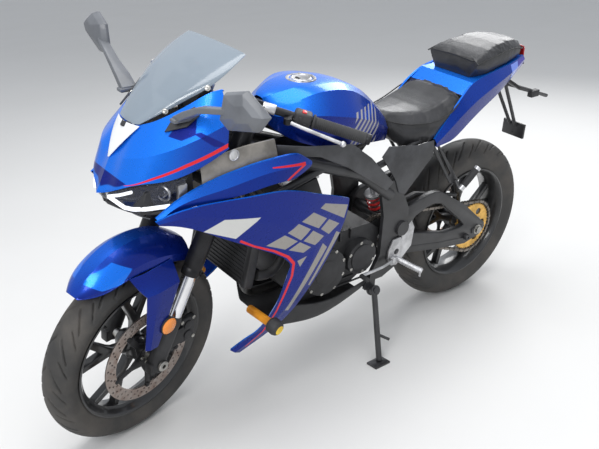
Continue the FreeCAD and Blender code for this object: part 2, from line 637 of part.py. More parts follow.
# Mirrors
mirror_foot = Vector(1262, 140, 996)
mirror_arm = tube([mirror_foot, Vector(1258, 215, 1040), Vector(1240, 345, 1094)], 9)
head_outline = [(-52, -34), (30, -50), (78, -18), (70, 30), (0, 48), (-58, 30)]
mirror_head = Part.Face(Part.makePolygon([Vector(0, y, z) for y, z in head_outline + head_outline[:1]])).extrude(
    Vector(34, 0, 0))
mirror_head.Placement = Placement(Vector(1222, 374, 1106), Rotation(ALONG_Z, 8))
foot_plate = box(1236, 128, 990, 1288, 152, 1001)
mirror = fused([mirror_arm, mirror_head, foot_plate])
add_piece("mirrors", chassis_rest, both_sides(mirror.cut(nose_side)))

# Crash bobbins
slider_tube = rod(Vector(925, 134, 420), Vector(1010, 236, 392), 13)
bobbin = rod(Vector(1008, 234, 392), Vector(1030, 262, 385), size("slider_radius"))
slider = fused([slider_tube, bobbin]).cut(side_fairing).cut(main_frame).cut(engine)
add_piece("sliders", chassis_rest, both_sides(slider))


# Rider footrests with the gear lever and the brake pedal
def footrest(lever_ahead):
    hanger = slab([(470, 420), (430, 420), (425, 330), (460, 320), (490, 350)], 132 + gap, 142)
    peg = rod(Vector(446, 140, 342), Vector(408, 226, 322), 11)
    lever = tube([Vector(470, 150, 350), Vector(540, 154, 340), Vector(lever_ahead, 154, 340)], 6)
    pad = rod(Vector(lever_ahead, 150, 340), Vector(lever_ahead, 190, 340), 8)
    return fused([hanger, peg, lever, pad])


add_piece("footrest_left", chassis_rest, footrest(620))
add_piece("footrest_right", chassis_rest, mirrored(footrest(585)))

# Pillion footrests, folded up
hanger = slab([(330, 730), (300, 735), (160, 560), (176, 545), (205, 556)], 117, 124)
peg = rod(Vector(172, 146, 532), Vector(104, 158, 606), 11)
step = fused([hanger, rod(Vector(172, 120, 556), Vector(172, 146, 532), 8), peg])
add_piece("pillion_footrests", chassis_rest, both_sides(step))

# Rear shock between the swingarm bridge and the frame
shock = fused([rod(Vector(372, 0, 345), Vector(470, 0, 590), 12), rod(Vector(385, 0, 380), Vector(450, 0, 540), 30)])
add_piece("shock", chassis_rest, shock.cut(main_frame).cut(swingarm))

# Rear brake caliper
caliper = box(60, -96, 372, 128, -52, 422).cut(drum(rear_axle, size("rear_disc_radius") + 3, -72, -60))
caliper = fused([caliper, box(60, -100, 372, 128, -90, 422)])
add_piece("rear_caliper", chassis_rest, caliper.cut(arm).cut(mirrored(arm)))

# Steering: yokes and stem
yoke_half = size("yoke_thickness") / 2


def yoke_clamp(height, side):
    """Middle of a yoke's clamp on the fork leg, level with the yoke along the steering axis."""
    leg = on_fork_leg(height, side)
    return leg + steering_up * (on_steering_axis(height) - leg).dot(steering_up)


def yoke(height):
    centre = on_steering_axis(height)
    plates = []
    for side in (1, -1):
        leg = yoke_clamp(height, side)
        clamp = rod(leg - steering_up * yoke_half, leg + steering_up * yoke_half, size("fork_outer_radius") + 9)
        plates.append(clamp)
    across = Part.makeBox(60, 2 * size("fork_spacing"), 2 * yoke_half, Vector(-14, -size("fork_spacing"), -yoke_half))
    across.Placement = Placement(centre, Rotation(ALONG_Z, steering_up))
    return fused(plates + [across])


stem = rod(on_steering_axis(size("yoke_low") - 14), on_steering_axis(size("yoke_high") + 18), size("stem_radius"))
leg_holes = [rod(on_fork_leg(size("fork_outer_low"), side), on_fork_leg(size("fork_top") + 30, side),
                 size("fork_outer_radius")) for side in (1, -1)]
yokes = fused([yoke(size("yoke_low")), yoke(size("yoke_high")), stem])
for hole in leg_holes:
    yokes = yokes.cut(hole)
add_piece("yokes", steering_rest, yokes)


# Fork legs, upside down, each with its axle foot
def fork_leg(side):
    sleeve_end = on_fork_leg(size("fork_outer_low"), side)
    outer = rod(sleeve_end, on_fork_leg(size("fork_top"), side), size("fork_outer_radius"))
    inner = rod(on_fork_leg(front_axle.z + 20, side), sleeve_end, size("fork_inner_radius"))
    foot_block = rod(on_fork_leg(front_axle.z - 24, side), on_fork_leg(front_axle.z + 62, side), 25)
    return fused([outer, inner, foot_block])


leg_left = fork_leg(1)
leg_right = fork_leg(-1)
spacers = [drum(front_axle, 15, size("front_disc_offset") + size("disc_thickness") / 2 + gap, 76),
           drum(front_axle, 15, -76, -52 - gap)]
axle_hole = drum(front_axle, size("axle_radius"), -130, 130)
add_piece("fork_left", steering_rest, leg_left.cut(axle_hole))
add_piece("fork_right", steering_rest, leg_right.cut(axle_hole))
spacers = [spacer.cut(leg_left).cut(leg_right) for spacer in spacers]
axle_front = fused([drum(front_axle, size("axle_radius"), -112, 112)] + spacers)
add_piece("front_axle", steering_rest, axle_front.cut(drum(front_axle, size("axle_bore"), -120, 120)))


# Clip-on handlebars with grips, switchgear and levers
def handlebar(side):
    clamp_half = 11
    leg = yoke_clamp(size("yoke_high"), side) + steering_up * (yoke_half + gap + clamp_half)
    clamp = rod(leg - steering_up * clamp_half, leg + steering_up * clamp_half, size("fork_outer_radius") + 8)
    bar_start = leg + Vector(-12, side * 26, 4)
    bar_end = Vector(858, side * 345, 932)
    direction = bar_end - bar_start
    bar = rod(bar_start, bar_end, size("bar_radius"))
    grip = rod(bar_start + direction * 0.46, bar_start + direction * 0.985, size("grip_radius"))
    end_weight = rod(bar_start + direction * 0.985, bar_start + direction * 1.03, size("grip_radius") - 1)
    switches = rod(bar_start + direction * 0.28, bar_start + direction * 0.45, 22)
    lever_root = bar_start + direction * 0.3 + Vector(34, 0, -4)
    lever_tip = bar_start + direction * 0.88 + Vector(52, 0, -12)
    lever = tube([bar_start + direction * 0.3, lever_root, lever_tip], 6)
    whole = fused([clamp, bar, grip, end_weight, switches, lever])
    hole = leg_holes[0] if side > 0 else leg_holes[1]
    return whole.cut(hole)


add_piece("handlebar_left", steering_rest, handlebar(1))
add_piece("handlebar_right", steering_rest, handlebar(-1))

# Front fender over the tyre, with a guard in front of each fork leg
# angle ahead of the vertical in degrees, radius of the crest, half width and radius of the lower edge
FENDER = [
    (34, 350, 30, 334),
    (26, 366, 66, 318),
    (10, 382, 74, 312),
    (-8, 376, 76, 306),
    (-26, 352, 74, 304),
]
fender_ribs = []
for angle, crest, half_width, edge in FENDER:
    out = Vector(math.sin(math.radians(angle)), 0, math.cos(math.radians(angle)))
    wall = size("panel_wall")
    tops = [front_axle + out * edge + Vector(0, half_width, 0), front_axle + out * crest,
            front_axle + out * edge - Vector(0, half_width, 0)]
    lows = [front_axle + out * (edge - 0.1) + Vector(0, half_width - wall, 0), front_axle + out * (crest - wall),
            front_axle + out * (edge - 0.1) - Vector(0, half_width - wall, 0)]
    fender_ribs.append(Part.Wire([Part.Arc(*tops).toShape(), Part.makeLine(tops[2], lows[2]),
                                  Part.Arc(lows[2], lows[1], lows[0]).toShape(), Part.makeLine(lows[0], tops[0])]))
fender = Part.makeLoft(fender_ribs, True, True)
leg_guards = []
for side in (1, -1):
    foot = on_fork_leg(front_axle.z + 64, side)
    top = on_fork_leg(612, side)
    shell = rod(foot, top, 30).cut(rod(foot - steering_up * 5, top + steering_up * 5, 26))
    front_half = Part.makeBox(60, 90, 500, Vector(-2, -45, -20))
    front_half.Placement = Placement(foot, Rotation(ALONG_Z, steering_up))
    leg_guards.append(shell.common(front_half))
add_piece("front_fender", steering_rest, fused([fender] + leg_guards).cut(leg_left).cut(leg_right))

# Front caliper on the left leg, behind it
caliper = box(1208, 42, 282, 1262, 84, 372).cut(drum(front_axle, size("front_disc_radius") + 3, 54, 64))
bracket = slab([(1262, 300), (1335, 300), (1330, 350), (1262, 350)], 78, 90)
add_piece("front_caliper", steering_rest, fused([caliper, bracket]).cut(leg_left))

# Side stand: the foot point on the floor is carried back to the upright machine
foot_on_floor = Vector(size("stand_foot_ahead") - size("origin_ahead"), size("stand_foot_left") - size("origin_left"), 0)
foot_point = chassis_rest.inverse().multVec(foot_on_floor)
floor_up = chassis_rest.Rotation.inverted().multVec(ALONG_Z)
floor_ahead = chassis_rest.Rotation.inverted().multVec(ALONG_X)
stand_down = foot_point - stand_pivot
stand_down.normalize()
stand_folded = Vector(-0.985, 0.06, 0.16)
stand_folded.normalize()
stand_axis = stand_down.cross(stand_folded)
stand_axis.normalize()
foot_thickness = 7
ankle = foot_point + floor_up * foot_thickness
foot = Part.makeBox(64, 46, foot_thickness, Vector(-26, -20, 0))
foot.Placement = Placement(foot_point, Rotation(floor_ahead, floor_up.cross(floor_ahead), floor_up, "XZY"))
leg = rod(stand_pivot, ankle + floor_up * 2, size("stand_leg_radius"))
eye_half = size("stand_leg_radius") + 1
bolt_r = size("stand_bolt_radius")
eye = rod(stand_pivot - stand_axis * eye_half, stand_pivot + stand_axis * eye_half, 17)
eye_bore = rod(stand_pivot - stand_axis * 20, stand_pivot + stand_axis * 20, bolt_r + gap)
tang = rod(stand_pivot + stand_down * 150, stand_pivot + stand_down * 165 + Vector(-34, 22, -4), 5)
add_piece("side_stand", chassis_rest, fused([leg, eye, foot, tang]).cut(eye_bore))
eye_face = eye_half + gap
bracket_cheek = rod(stand_pivot - stand_axis * (eye_face + 9), stand_pivot - stand_axis * eye_face, 19)
bolt = rod(stand_pivot - stand_axis * (eye_face + 5), stand_pivot + stand_axis * (eye_face + 1), bolt_r)
bolt_head = rod(stand_pivot + stand_axis * eye_face, stand_pivot + stand_axis * (eye_face + 6), bolt_r * 1.7)
lug = box(516, 104, 244, 560, 118, 305)
add_piece("stand_bracket", chassis_rest, fused([bracket_cheek, lug, bolt, bolt_head]))

# Checks, then one file for each piece
doc.recompute()
for thing in doc.Objects:
    if "Invalid" in thing.State or "Error" in thing.State:
        raise RuntimeError("%s did not build" % thing.Label)
failed = [piece.Label for piece in pieces
          if piece.Shape.isNull() or not piece.Shape.isValid() or not piece.Shape.Solids]
if failed:
    raise RuntimeError("not valid solids: %s" % ", ".join(failed))
os.makedirs("parts", exist_ok=True)
for piece in pieces:
    piece.Shape.exportStep("parts/%s.step" % piece.Label)
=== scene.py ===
import json
from math import acos, atan2, cos, pi, radians, sin, sqrt

import bpy
from bpy.props import FloatProperty, FloatVectorProperty, IntProperty, PointerProperty
from mathutils import Matrix, Vector

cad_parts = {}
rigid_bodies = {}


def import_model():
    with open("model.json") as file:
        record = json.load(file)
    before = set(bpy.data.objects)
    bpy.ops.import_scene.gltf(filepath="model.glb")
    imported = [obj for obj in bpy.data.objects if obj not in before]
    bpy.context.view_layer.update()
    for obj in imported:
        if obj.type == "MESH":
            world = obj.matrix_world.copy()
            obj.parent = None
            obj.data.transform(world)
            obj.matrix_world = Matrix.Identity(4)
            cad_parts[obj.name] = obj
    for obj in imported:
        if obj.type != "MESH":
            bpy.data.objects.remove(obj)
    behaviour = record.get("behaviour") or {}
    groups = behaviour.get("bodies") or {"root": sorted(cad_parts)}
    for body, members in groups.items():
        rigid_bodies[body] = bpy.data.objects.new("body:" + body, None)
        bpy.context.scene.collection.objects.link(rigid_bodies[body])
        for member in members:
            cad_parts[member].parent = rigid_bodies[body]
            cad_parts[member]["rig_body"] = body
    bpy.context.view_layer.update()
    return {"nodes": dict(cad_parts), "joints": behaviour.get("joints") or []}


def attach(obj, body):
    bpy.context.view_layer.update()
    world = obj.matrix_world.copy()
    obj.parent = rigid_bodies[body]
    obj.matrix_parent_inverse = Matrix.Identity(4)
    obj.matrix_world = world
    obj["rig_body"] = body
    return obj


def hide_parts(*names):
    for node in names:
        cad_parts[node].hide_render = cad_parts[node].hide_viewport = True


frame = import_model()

bl_info = {
    "name": "Sport Motorcycle",
    "version": (1, 0, 0),
    "blender": (4, 5, 0),
    "location": "View3D > Sidebar > Motorcycle",
    "description": "Models a faired motorcycle, leaning on its side stand, piece by piece",
    "category": "Add Mesh",
}


def xyz(x, y, z):
    """A point or a direction."""
    return Vector((x, y, z))


# Points are in millimetres on the upright machine: X ahead of the rear axle, Y to the rider's left, Z up
MM = 0.001
JOINT = {joint["name"]: joint for joint in frame["joints"]}
RAKE = radians(25)
STEER_REST = radians(13.35)
WHEELBASE = 1365
REAR_RADIUS = 314
FRONT_RADIUS = 293
REAR_CROWN = 72
FRONT_CROWN = 57
BEAD = 214
FORK_SPACING = 98
PANEL_WALL = 3.2
FRONT_AXLE = xyz(WHEELBASE, 0, FRONT_RADIUS)
REAR_AXLE = xyz(0, 0, REAR_RADIUS)
STEER_UP = xyz(-sin(RAKE), 0, cos(RAKE))
STEER_FOOT = xyz(WHEELBASE + 95, 0, 0)
TOP_YOKE = 947
SPOKES = 5
NOSE_MIDDLE = (1150, 0, 900)
ORIGIN = Vector()
X_AXIS = xyz(1, 0, 0)
Y_AXIS = xyz(0, 1, 0)
Z_AXIS = xyz(0, 0, 1)


def machine_place():
    """Place of the upright machine in the frame, from the directions of its joints."""
    left = Vector(JOINT["rear_wheel_spin"]["axis"]).normalized()
    stem = Vector(JOINT["steering_turn"]["axis"]).normalized()
    level = left.cross(stem)
    ahead = level * cos(RAKE) - stem * sin(RAKE)
    up = level * sin(RAKE) + stem * cos(RAKE)
    place = Matrix((ahead, left, up)).transposed().to_4x4()
    axle = Vector(JOINT["rear_wheel_spin"]["pos_m"])
    place.translation = axle - up * REAR_RADIUS * MM
    return place @ Matrix.Scale(MM, 4)


MACHINE = machine_place()
STEERED = MACHINE @ (Matrix.Translation(STEER_FOOT) @ Matrix.Rotation(STEER_REST, 4, STEER_UP)
    @ Matrix.Translation(-STEER_FOOT))
PLACE = {"chassis": MACHINE, "stand": MACHINE, "rear_wheel_body": MACHINE, "steering": STEERED,
    "front_wheel_body": STEERED}


def steering_axis(height):
    return STEER_FOOT + STEER_UP * (height / STEER_UP.z)


def fork_line(height, side=1):
    """Point of a fork leg at a height."""
    return FRONT_AXLE + STEER_UP * ((height - FRONT_AXLE.z) / STEER_UP.z) + Y_AXIS * side * FORK_SPACING


class MotorcycleSizes(bpy.types.PropertyGroup):
    """Sizes that a user may change."""
    front_pitches: IntProperty(name="Front tread pitches", description="Tread pitches round the front tyre",
        default=20)
    rear_pitches: IntProperty(name="Rear tread pitches", description="Tread pitches round the rear tyre",
        default=21)
    groove_depth: FloatProperty(name="Tread groove", description="Depth of the tread grooves",
        default=4.2 * MM, unit="LENGTH")
    chain_pitch: FloatProperty(name="Chain pitch", description="Distance between chain pins",
        default=15.875 * MM, unit="LENGTH")


def colour(name, description, default):
    return FloatVectorProperty(name=name, description=description, subtype="COLOR", default=default)


class MotorcycleColours(bpy.types.PropertyGroup):
    """Colours that a user may change."""
    body: colour("Body paint", "Metallic paint of the bodywork", (0.006, 0.050, 0.38))
    # Painted highlight: the body's blue made paler on faces that look up
    light: colour("Painted highlight of the body", "Painted highlight where a face looks up", (0.008, 0.17, 0.80))
    stripe: colour("Stripe", "Thin stripes on the bodywork", (0.72, 0.02, 0.03))
    blocks: colour("Blocks", "Grey blocks on the side fairing", (0.32, 0.30, 0.28))
    sliders: colour("Sliders", "Crash bobbin tubes", (0.85, 0.30, 0.02))


class Wire:
    """A socket of a material. Maths on it adds the Math nodes that do the same."""

    def __init__(self, finish, socket):
        self.finish = finish
        self.socket = socket

    def maths(self, operation, *others):
        return self.finish.add("ShaderNodeMath", {"operation": operation}, dict(enumerate((self,) + others)))

    def __add__(self, other):
        return self.maths("ADD", other)

    def __mul__(self, other):
        return self.maths("MULTIPLY", other)

    def __sub__(self, other):
        return self.maths("SUBTRACT", other)

    def __rsub__(self, other):
        return self.finish.add("ShaderNodeMath", {"operation": "SUBTRACT"}, {0: other, 1: self})

    def __truediv__(self, other):
        return self.maths("DIVIDE", other)

    def __abs__(self):
        return self.maths("ABSOLUTE")

    __radd__ = __add__
    __rmul__ = __mul__

    def rises(self, low, high):
        """Goes smoothly from 0 below low to 1 above high."""
        return self.finish.add("ShaderNodeMapRange", {"interpolation_type": "SMOOTHSTEP"},
            {"Value": self, "From Min": low, "From Max": high}, "Result")

    def within(self, low, high, soft=1.0):
        """1 between low and high, and 0 outside."""
        return self.rises(low - soft, low) * (1 - self.rises(high, high + soft))


class Finish:
    """A material of one Principled surface, with its nodes added by name."""

    def __init__(self, name, colour, rough, metal=0.0, coat=0.0, **more):
        self.material = bpy.data.materials.new(name)
        self.material.use_nodes = True
        self.tree = self.material.node_tree
        self.surface = self.tree.nodes["Principled BSDF"]
        values = {"Base Color": rgba(*colour), "Roughness": rough, "Metallic": metal, "Coat Weight": coat,
            "Coat Roughness": 0.04}
        values.update(more)
        self.plug(self.surface, values)

    def plug(self, node, values):
        for key, value in values.items():
            if isinstance(value, Wire):
                self.tree.links.new(value.socket, node.inputs[key])
            else:
                node.inputs[key].default_value = value

    def add(self, kind, settings, values, output=0):
        node = self.tree.nodes.new(kind)
        for key, value in settings.items():
            if key == "stops":
                for number, (position, shade) in enumerate(value):
                    ramp = node.color_ramp.elements
                    stop = ramp[number] if number < 2 else ramp.new(position)
                    stop.position = position
                    stop.color = shade
            else:
                setattr(node, key, value)
        self.plug(node, values)
        return Wire(self, node.outputs[output])

    def shows(self, **values):
        self.plug(self.surface, {key.replace("_", " "): value for key, value in values.items()})
        return self

    def spot(self):
        return self.add("ShaderNodeTexCoord", {}, {}, "Object")

    def machine(self, place=MACHINE):
        """Coordinates in millimetres on the upright machine, as three values."""
        turn = place.to_3x3().normalized().to_euler()
        spot = self.add("ShaderNodeMapping", {"vector_type": "TEXTURE"}, {
            "Vector": self.spot(), "Location": place.translation, "Rotation": turn, "Scale": (MM, MM, MM)})
        return [self.add("ShaderNodeSeparateXYZ", {}, {0: spot}, axis) for axis in "XYZ"]

    def noise(self, scale, detail=3.0):
        return self.add("ShaderNodeTexNoise", {}, {"Vector": self.spot(), "Scale": scale, "Detail": detail,
            "Roughness": 0.6}, "Fac")

    def blend(self, mask, first, second):
        return self.add("ShaderNodeMix", {"data_type": "RGBA"}, {0: mask, 6: first, 7: second}, 2)

    def bump(self, height, distance, strength=1.0):
        """Relief of a height in metres."""
        relief = self.add("ShaderNodeBump", {}, {"Height": height, "Distance": distance,
            "Strength": strength}, "Normal")
        return self.shows(Normal=relief)


def rgba(*colour):
    return tuple(colour) + (1.0,)


def chosen(name):
    """A colour that the user may change."""
    return tuple(getattr(bpy.context.scene.motorcycle_colours, name))


def beyond(x, z, start, end):
    """Distance of a place in the side view to the left of the line from start to end, in millimetres."""
    run = Vector(end) - Vector(start)
    run.normalize()
    return (x * -run.y + z * run.x) + (start[0] * run.y - start[1] * run.x)


def polygon_mask(x, z, corners, soft=0.8):
    """1 inside a convex outline of the side view."""
    mask = None
    pairs = zip(corners, corners[1:] + corners[:1])
    if sum(start[0] * end[1] - end[0] * start[1] for start, end in pairs) < 0:
        corners = corners[::-1]
    for start, end in zip(corners, corners[1:] + corners[:1]):
        inside = beyond(x, z, start, end).rises(-soft, soft)
        mask = inside if mask is None else mask * inside
    return mask


FINISH = {}


def body_paint(name, marks=None, lift=0.0):
    """Blue under clear lacquer with painted shade facing down and painted highlight facing up; marks are
    pairs of a mask and colour.
    """
    blue = chosen("body")
    paint = Finish(name, blue, 0.28, metal=0.5, coat=0.4, **{"IOR": 1.25, "Coat IOR": 1.35})
    slope = paint.add("ShaderNodeAttribute", {"attribute_name": "slope"}, {}, "Fac")
    slope = slope + paint.noise(900.0, 1.0) * 0.12 + paint.noise(5.0, 2.0) * 0.10 + lift
    # Painted shade on faces that look down, the body blue between, and a painted highlight on faces that look
    # up
    painted_shade_colour = rgba(0.003, 0.017, 0.21)
    shade = paint.blend(slope.rises(0.0, 0.45), painted_shade_colour, rgba(*blue))
    shade = paint.blend(slope.rises(0.42, 0.85), shade, rgba(*chosen("light")))
    metal = None
    for mask, colour in (marks(paint) if marks else ()):
        shade = paint.blend(mask, shade, rgba(*colour))
        if max(colour[:2]) > 0.25:
            metal = mask if metal is None else metal + mask
    paint.shows(Base_Color=shade, Roughness=paint.noise(60.0) * 0.08 + 0.24)
    if metal is not None:
        paint.shows(Metallic=(1 - metal.rises(0.0, 1.0)) * 0.5)
    return paint


def line_mask(x, z, points):
    """1 along a bent line of the side view, given as (ahead, up, half width) at each corner."""
    mask = None
    for start, end in zip(points, points[1:]):
        run = Vector(end[:2]) - Vector(start[:2])
        off = abs(beyond(x, z, start[:2], end[:2]))
        along = beyond(x, z, start[:2], (start[0] + run.y, start[1] - run.x)) / run.length
        width = along * (end[2] - start[2]) + start[2]
        part = (width - off).rises(-0.6, 0.6) * along.within(0.0, 1.0, 0.02)
        mask = part if mask is None else mask.maths("MAXIMUM", part)
    return mask


def nose_marks(paint):
    """Red line above the lower edge of the nose, and painted shade on its darker facets."""
    x, y, z = paint.machine()
    # Painted shade: a darker blue on the nose's shaded facets
    dark = [(polygon_mask(x, z, corners, 1.2), (0.003, 0.012, 0.20)) for corners in NOSE_SHADED_FACETS]
    return dark + [(line_mask(x, z, NOSE_LINE), chosen("stripe"))]


NOSE_LINE = [(1396, 831, 0.5), (1346, 855, 2.4), (1269, 887, 4.0), (1185, 917, 5.2), (1156, 927, 5.4)]
# Facets of the nose in its side view, as (ahead, up), painted darker as shade
NOSE_SHADED_FACETS = [
    [(1292, 953), (1258, 986), (1222, 1000), (1240, 960), (1272, 947)],
    [(1243, 962), (1228, 966), (1172, 932), (1172, 922), (1200, 928)],
    [(1393, 835), (1412, 852), (1424, 806)],
]


def fairing_marks(paint):
    """Grey blocks and stripes on the rear of the fairing, a bare pale panel and a red line."""
    x, y, z = paint.machine()
    marks = [(polygon_mask(x, z, corners), chosen("blocks")) for corners in FAIRING_BLOCKS]
    marks.append((polygon_mask(x, z, PALE_PANEL), (0.62, 0.62, 0.60)))
    marks.append((line_mask(x, z, RED_LINE), chosen("stripe")))
    return marks


# Marks of the side fairing in its side view, as (ahead, up)
FAIRING_BLOCKS = [
    [(857, 696), (759, 661), (770, 620), (875, 686)],
    [(901, 681), (845, 644), (876, 622), (944, 665)],
    [(835, 638), (788, 608), (829, 586), (866, 616)],
    [(955, 662), (908, 630), (941, 604), (991, 643)],
    [(898, 622), (850, 587), (883, 568), (931, 598)],
    [(1000, 638), (952, 604), (992, 588), (1057, 619)],
    [(943, 598), (898, 566), (925, 556), (980, 582)],
    [(850, 562), (829, 541), (950, 354), (966, 362)],
    [(797, 584), (780, 574), (876, 418), (884, 424)],
    [(909, 539), (931, 509), (944, 534)],
]
PALE_PANEL = [(1245, 711), (1191, 737), (1084, 718), (1153, 668)]
RED_LINE = [(1139, 657, 3.5), (1095, 628, 3.0), (1028, 593, 3.4), (979, 559, 4.2), (956, 530, 4.6),
    (958, 486, 4.6), (977, 433, 4.2), (1002, 373, 3.6), (1040, 312, 3.0), (1095, 276, 2.2)]


def wing_marks(paint):
    """Red chevron at the rear of the wing."""
    x, y, z = paint.machine()
    chevron = line_mask(x, z, [(1030, 838, 1.5), (915, 822, 4.0), (985, 793, 3.0)])
    return [(chevron, chosen("stripe"))]


def fender_marks(paint):
    """Painted highlight on the facet at the front of the fender's sides."""
    x, y, z = paint.machine(STEERED)
    painted_highlight = polygon_mask(x, z, FENDER_HIGHLIGHT_FACET, 1.2) * abs(y).rises(14.0, 22.0)
    return [(painted_highlight, chosen("light"))]


# Facet at the front of the fender's sides in its side view, as (ahead, up), that gets a painted highlight
FENDER_HIGHLIGHT_FACET = [(1555, 608), (1513, 588), (1459, 593), (1425, 622), (1466, 644)]


def tank_marks(paint):
    """Slanted grey stripes at the rear of the tank's side."""
    x, y, z = paint.machine()
    slant = x + z * 0.55
    stripes = slant.maths("MODULO", 26.0).within(2.0, 12.0) * z.within(770, 905) * x.within(560, 690)
    stripes = stripes * abs(y).rises(80, 90)
    return [(stripes, (0.36, 0.35, 0.36))]


def plain(name, colour, rough, metal=0.0, coat=0.0, grain=400.0, depth=0.00006, spread=0.35, **more):
    """Finish with fine grain and cloudy colour and gloss."""
    made = Finish(name, colour, rough, metal, coat, **more)
    cloud = made.noise(14.0, 4.0)
    fine = made.noise(grain, 2.0)
    dark = rgba(*[c * (1 - spread) for c in colour])
    light = rgba(*[min(1.0, c * (1 + spread) + 0.004) for c in colour])
    made.shows(Base_Color=made.blend(cloud.rises(0.3, 0.7), dark, light),
        Roughness=cloud * 0.18 + (rough - 0.09) + fine * 0.04)
    return made.bump(fine, depth)


def tyre_finish(name):
    """Black rubber, paler and dusty on the tread."""
    made = Finish(name, (0.018, 0.018, 0.019), 0.72)
    dust = made.noise(9.0, 5.0).rises(0.35, 0.75)
    spot = made.noise(240.0, 2.0)
    made.shows(Base_Color=made.blend(dust * 0.8, rgba(0.030, 0.029, 0.028), rgba(0.098, 0.088, 0.078)),
        Roughness=0.60 + dust * 0.22)
    return made.bump(spot, 0.00025, 0.6)


def disc_finish(name, rest, axle):
    """Ground steel with fine rings about the axle and brown heat."""
    made = Finish(name, (0.36, 0.30, 0.27), 0.34, metal=1.0)
    x, y, z = made.machine(rest)
    radius = ((x - axle.x) * (x - axle.x) + (z - axle.z) * (z - axle.z)).maths("SQRT")
    rings = (radius * 2.1).maths("SINE")
    heat = made.noise(24.0, 3.0).rises(0.3, 0.75)
    made.shows(Base_Color=made.blend(heat, rgba(0.42, 0.37, 0.34), rgba(0.27, 0.20, 0.17)),
        Roughness=0.27 + rings * 0.05 + heat * 0.08)
    return made.bump(rings, 0.00004)


def tail_marks(paint):
    """Painted shade low on the sides of the tail, and painted highlights on two facets near its rear."""
    x, y, z = paint.machine()
    return [(polygon_mask(x, z, corners), colour) for corners, colour in TAIL_SHADED_AND_LIT_FACETS]


# Facets of the tail's sides in its side view, as (ahead, up), each with its painted shade or highlight colour
TAIL_SHADED_AND_LIT_FACETS = [
    ([(250, 760), (150, 760), (40, 822), (-190, 898), (-190, 830), (250, 700)], (0.004, 0.012, 0.10)),
    ([(-120, 932), (-176, 936), (-182, 908), (-112, 884)], (0.05, 0.035, 0.42)),
    ([(-62, 928), (-116, 932), (-106, 886), (-70, 872)], (0.20, 0.30, 0.85)),
]


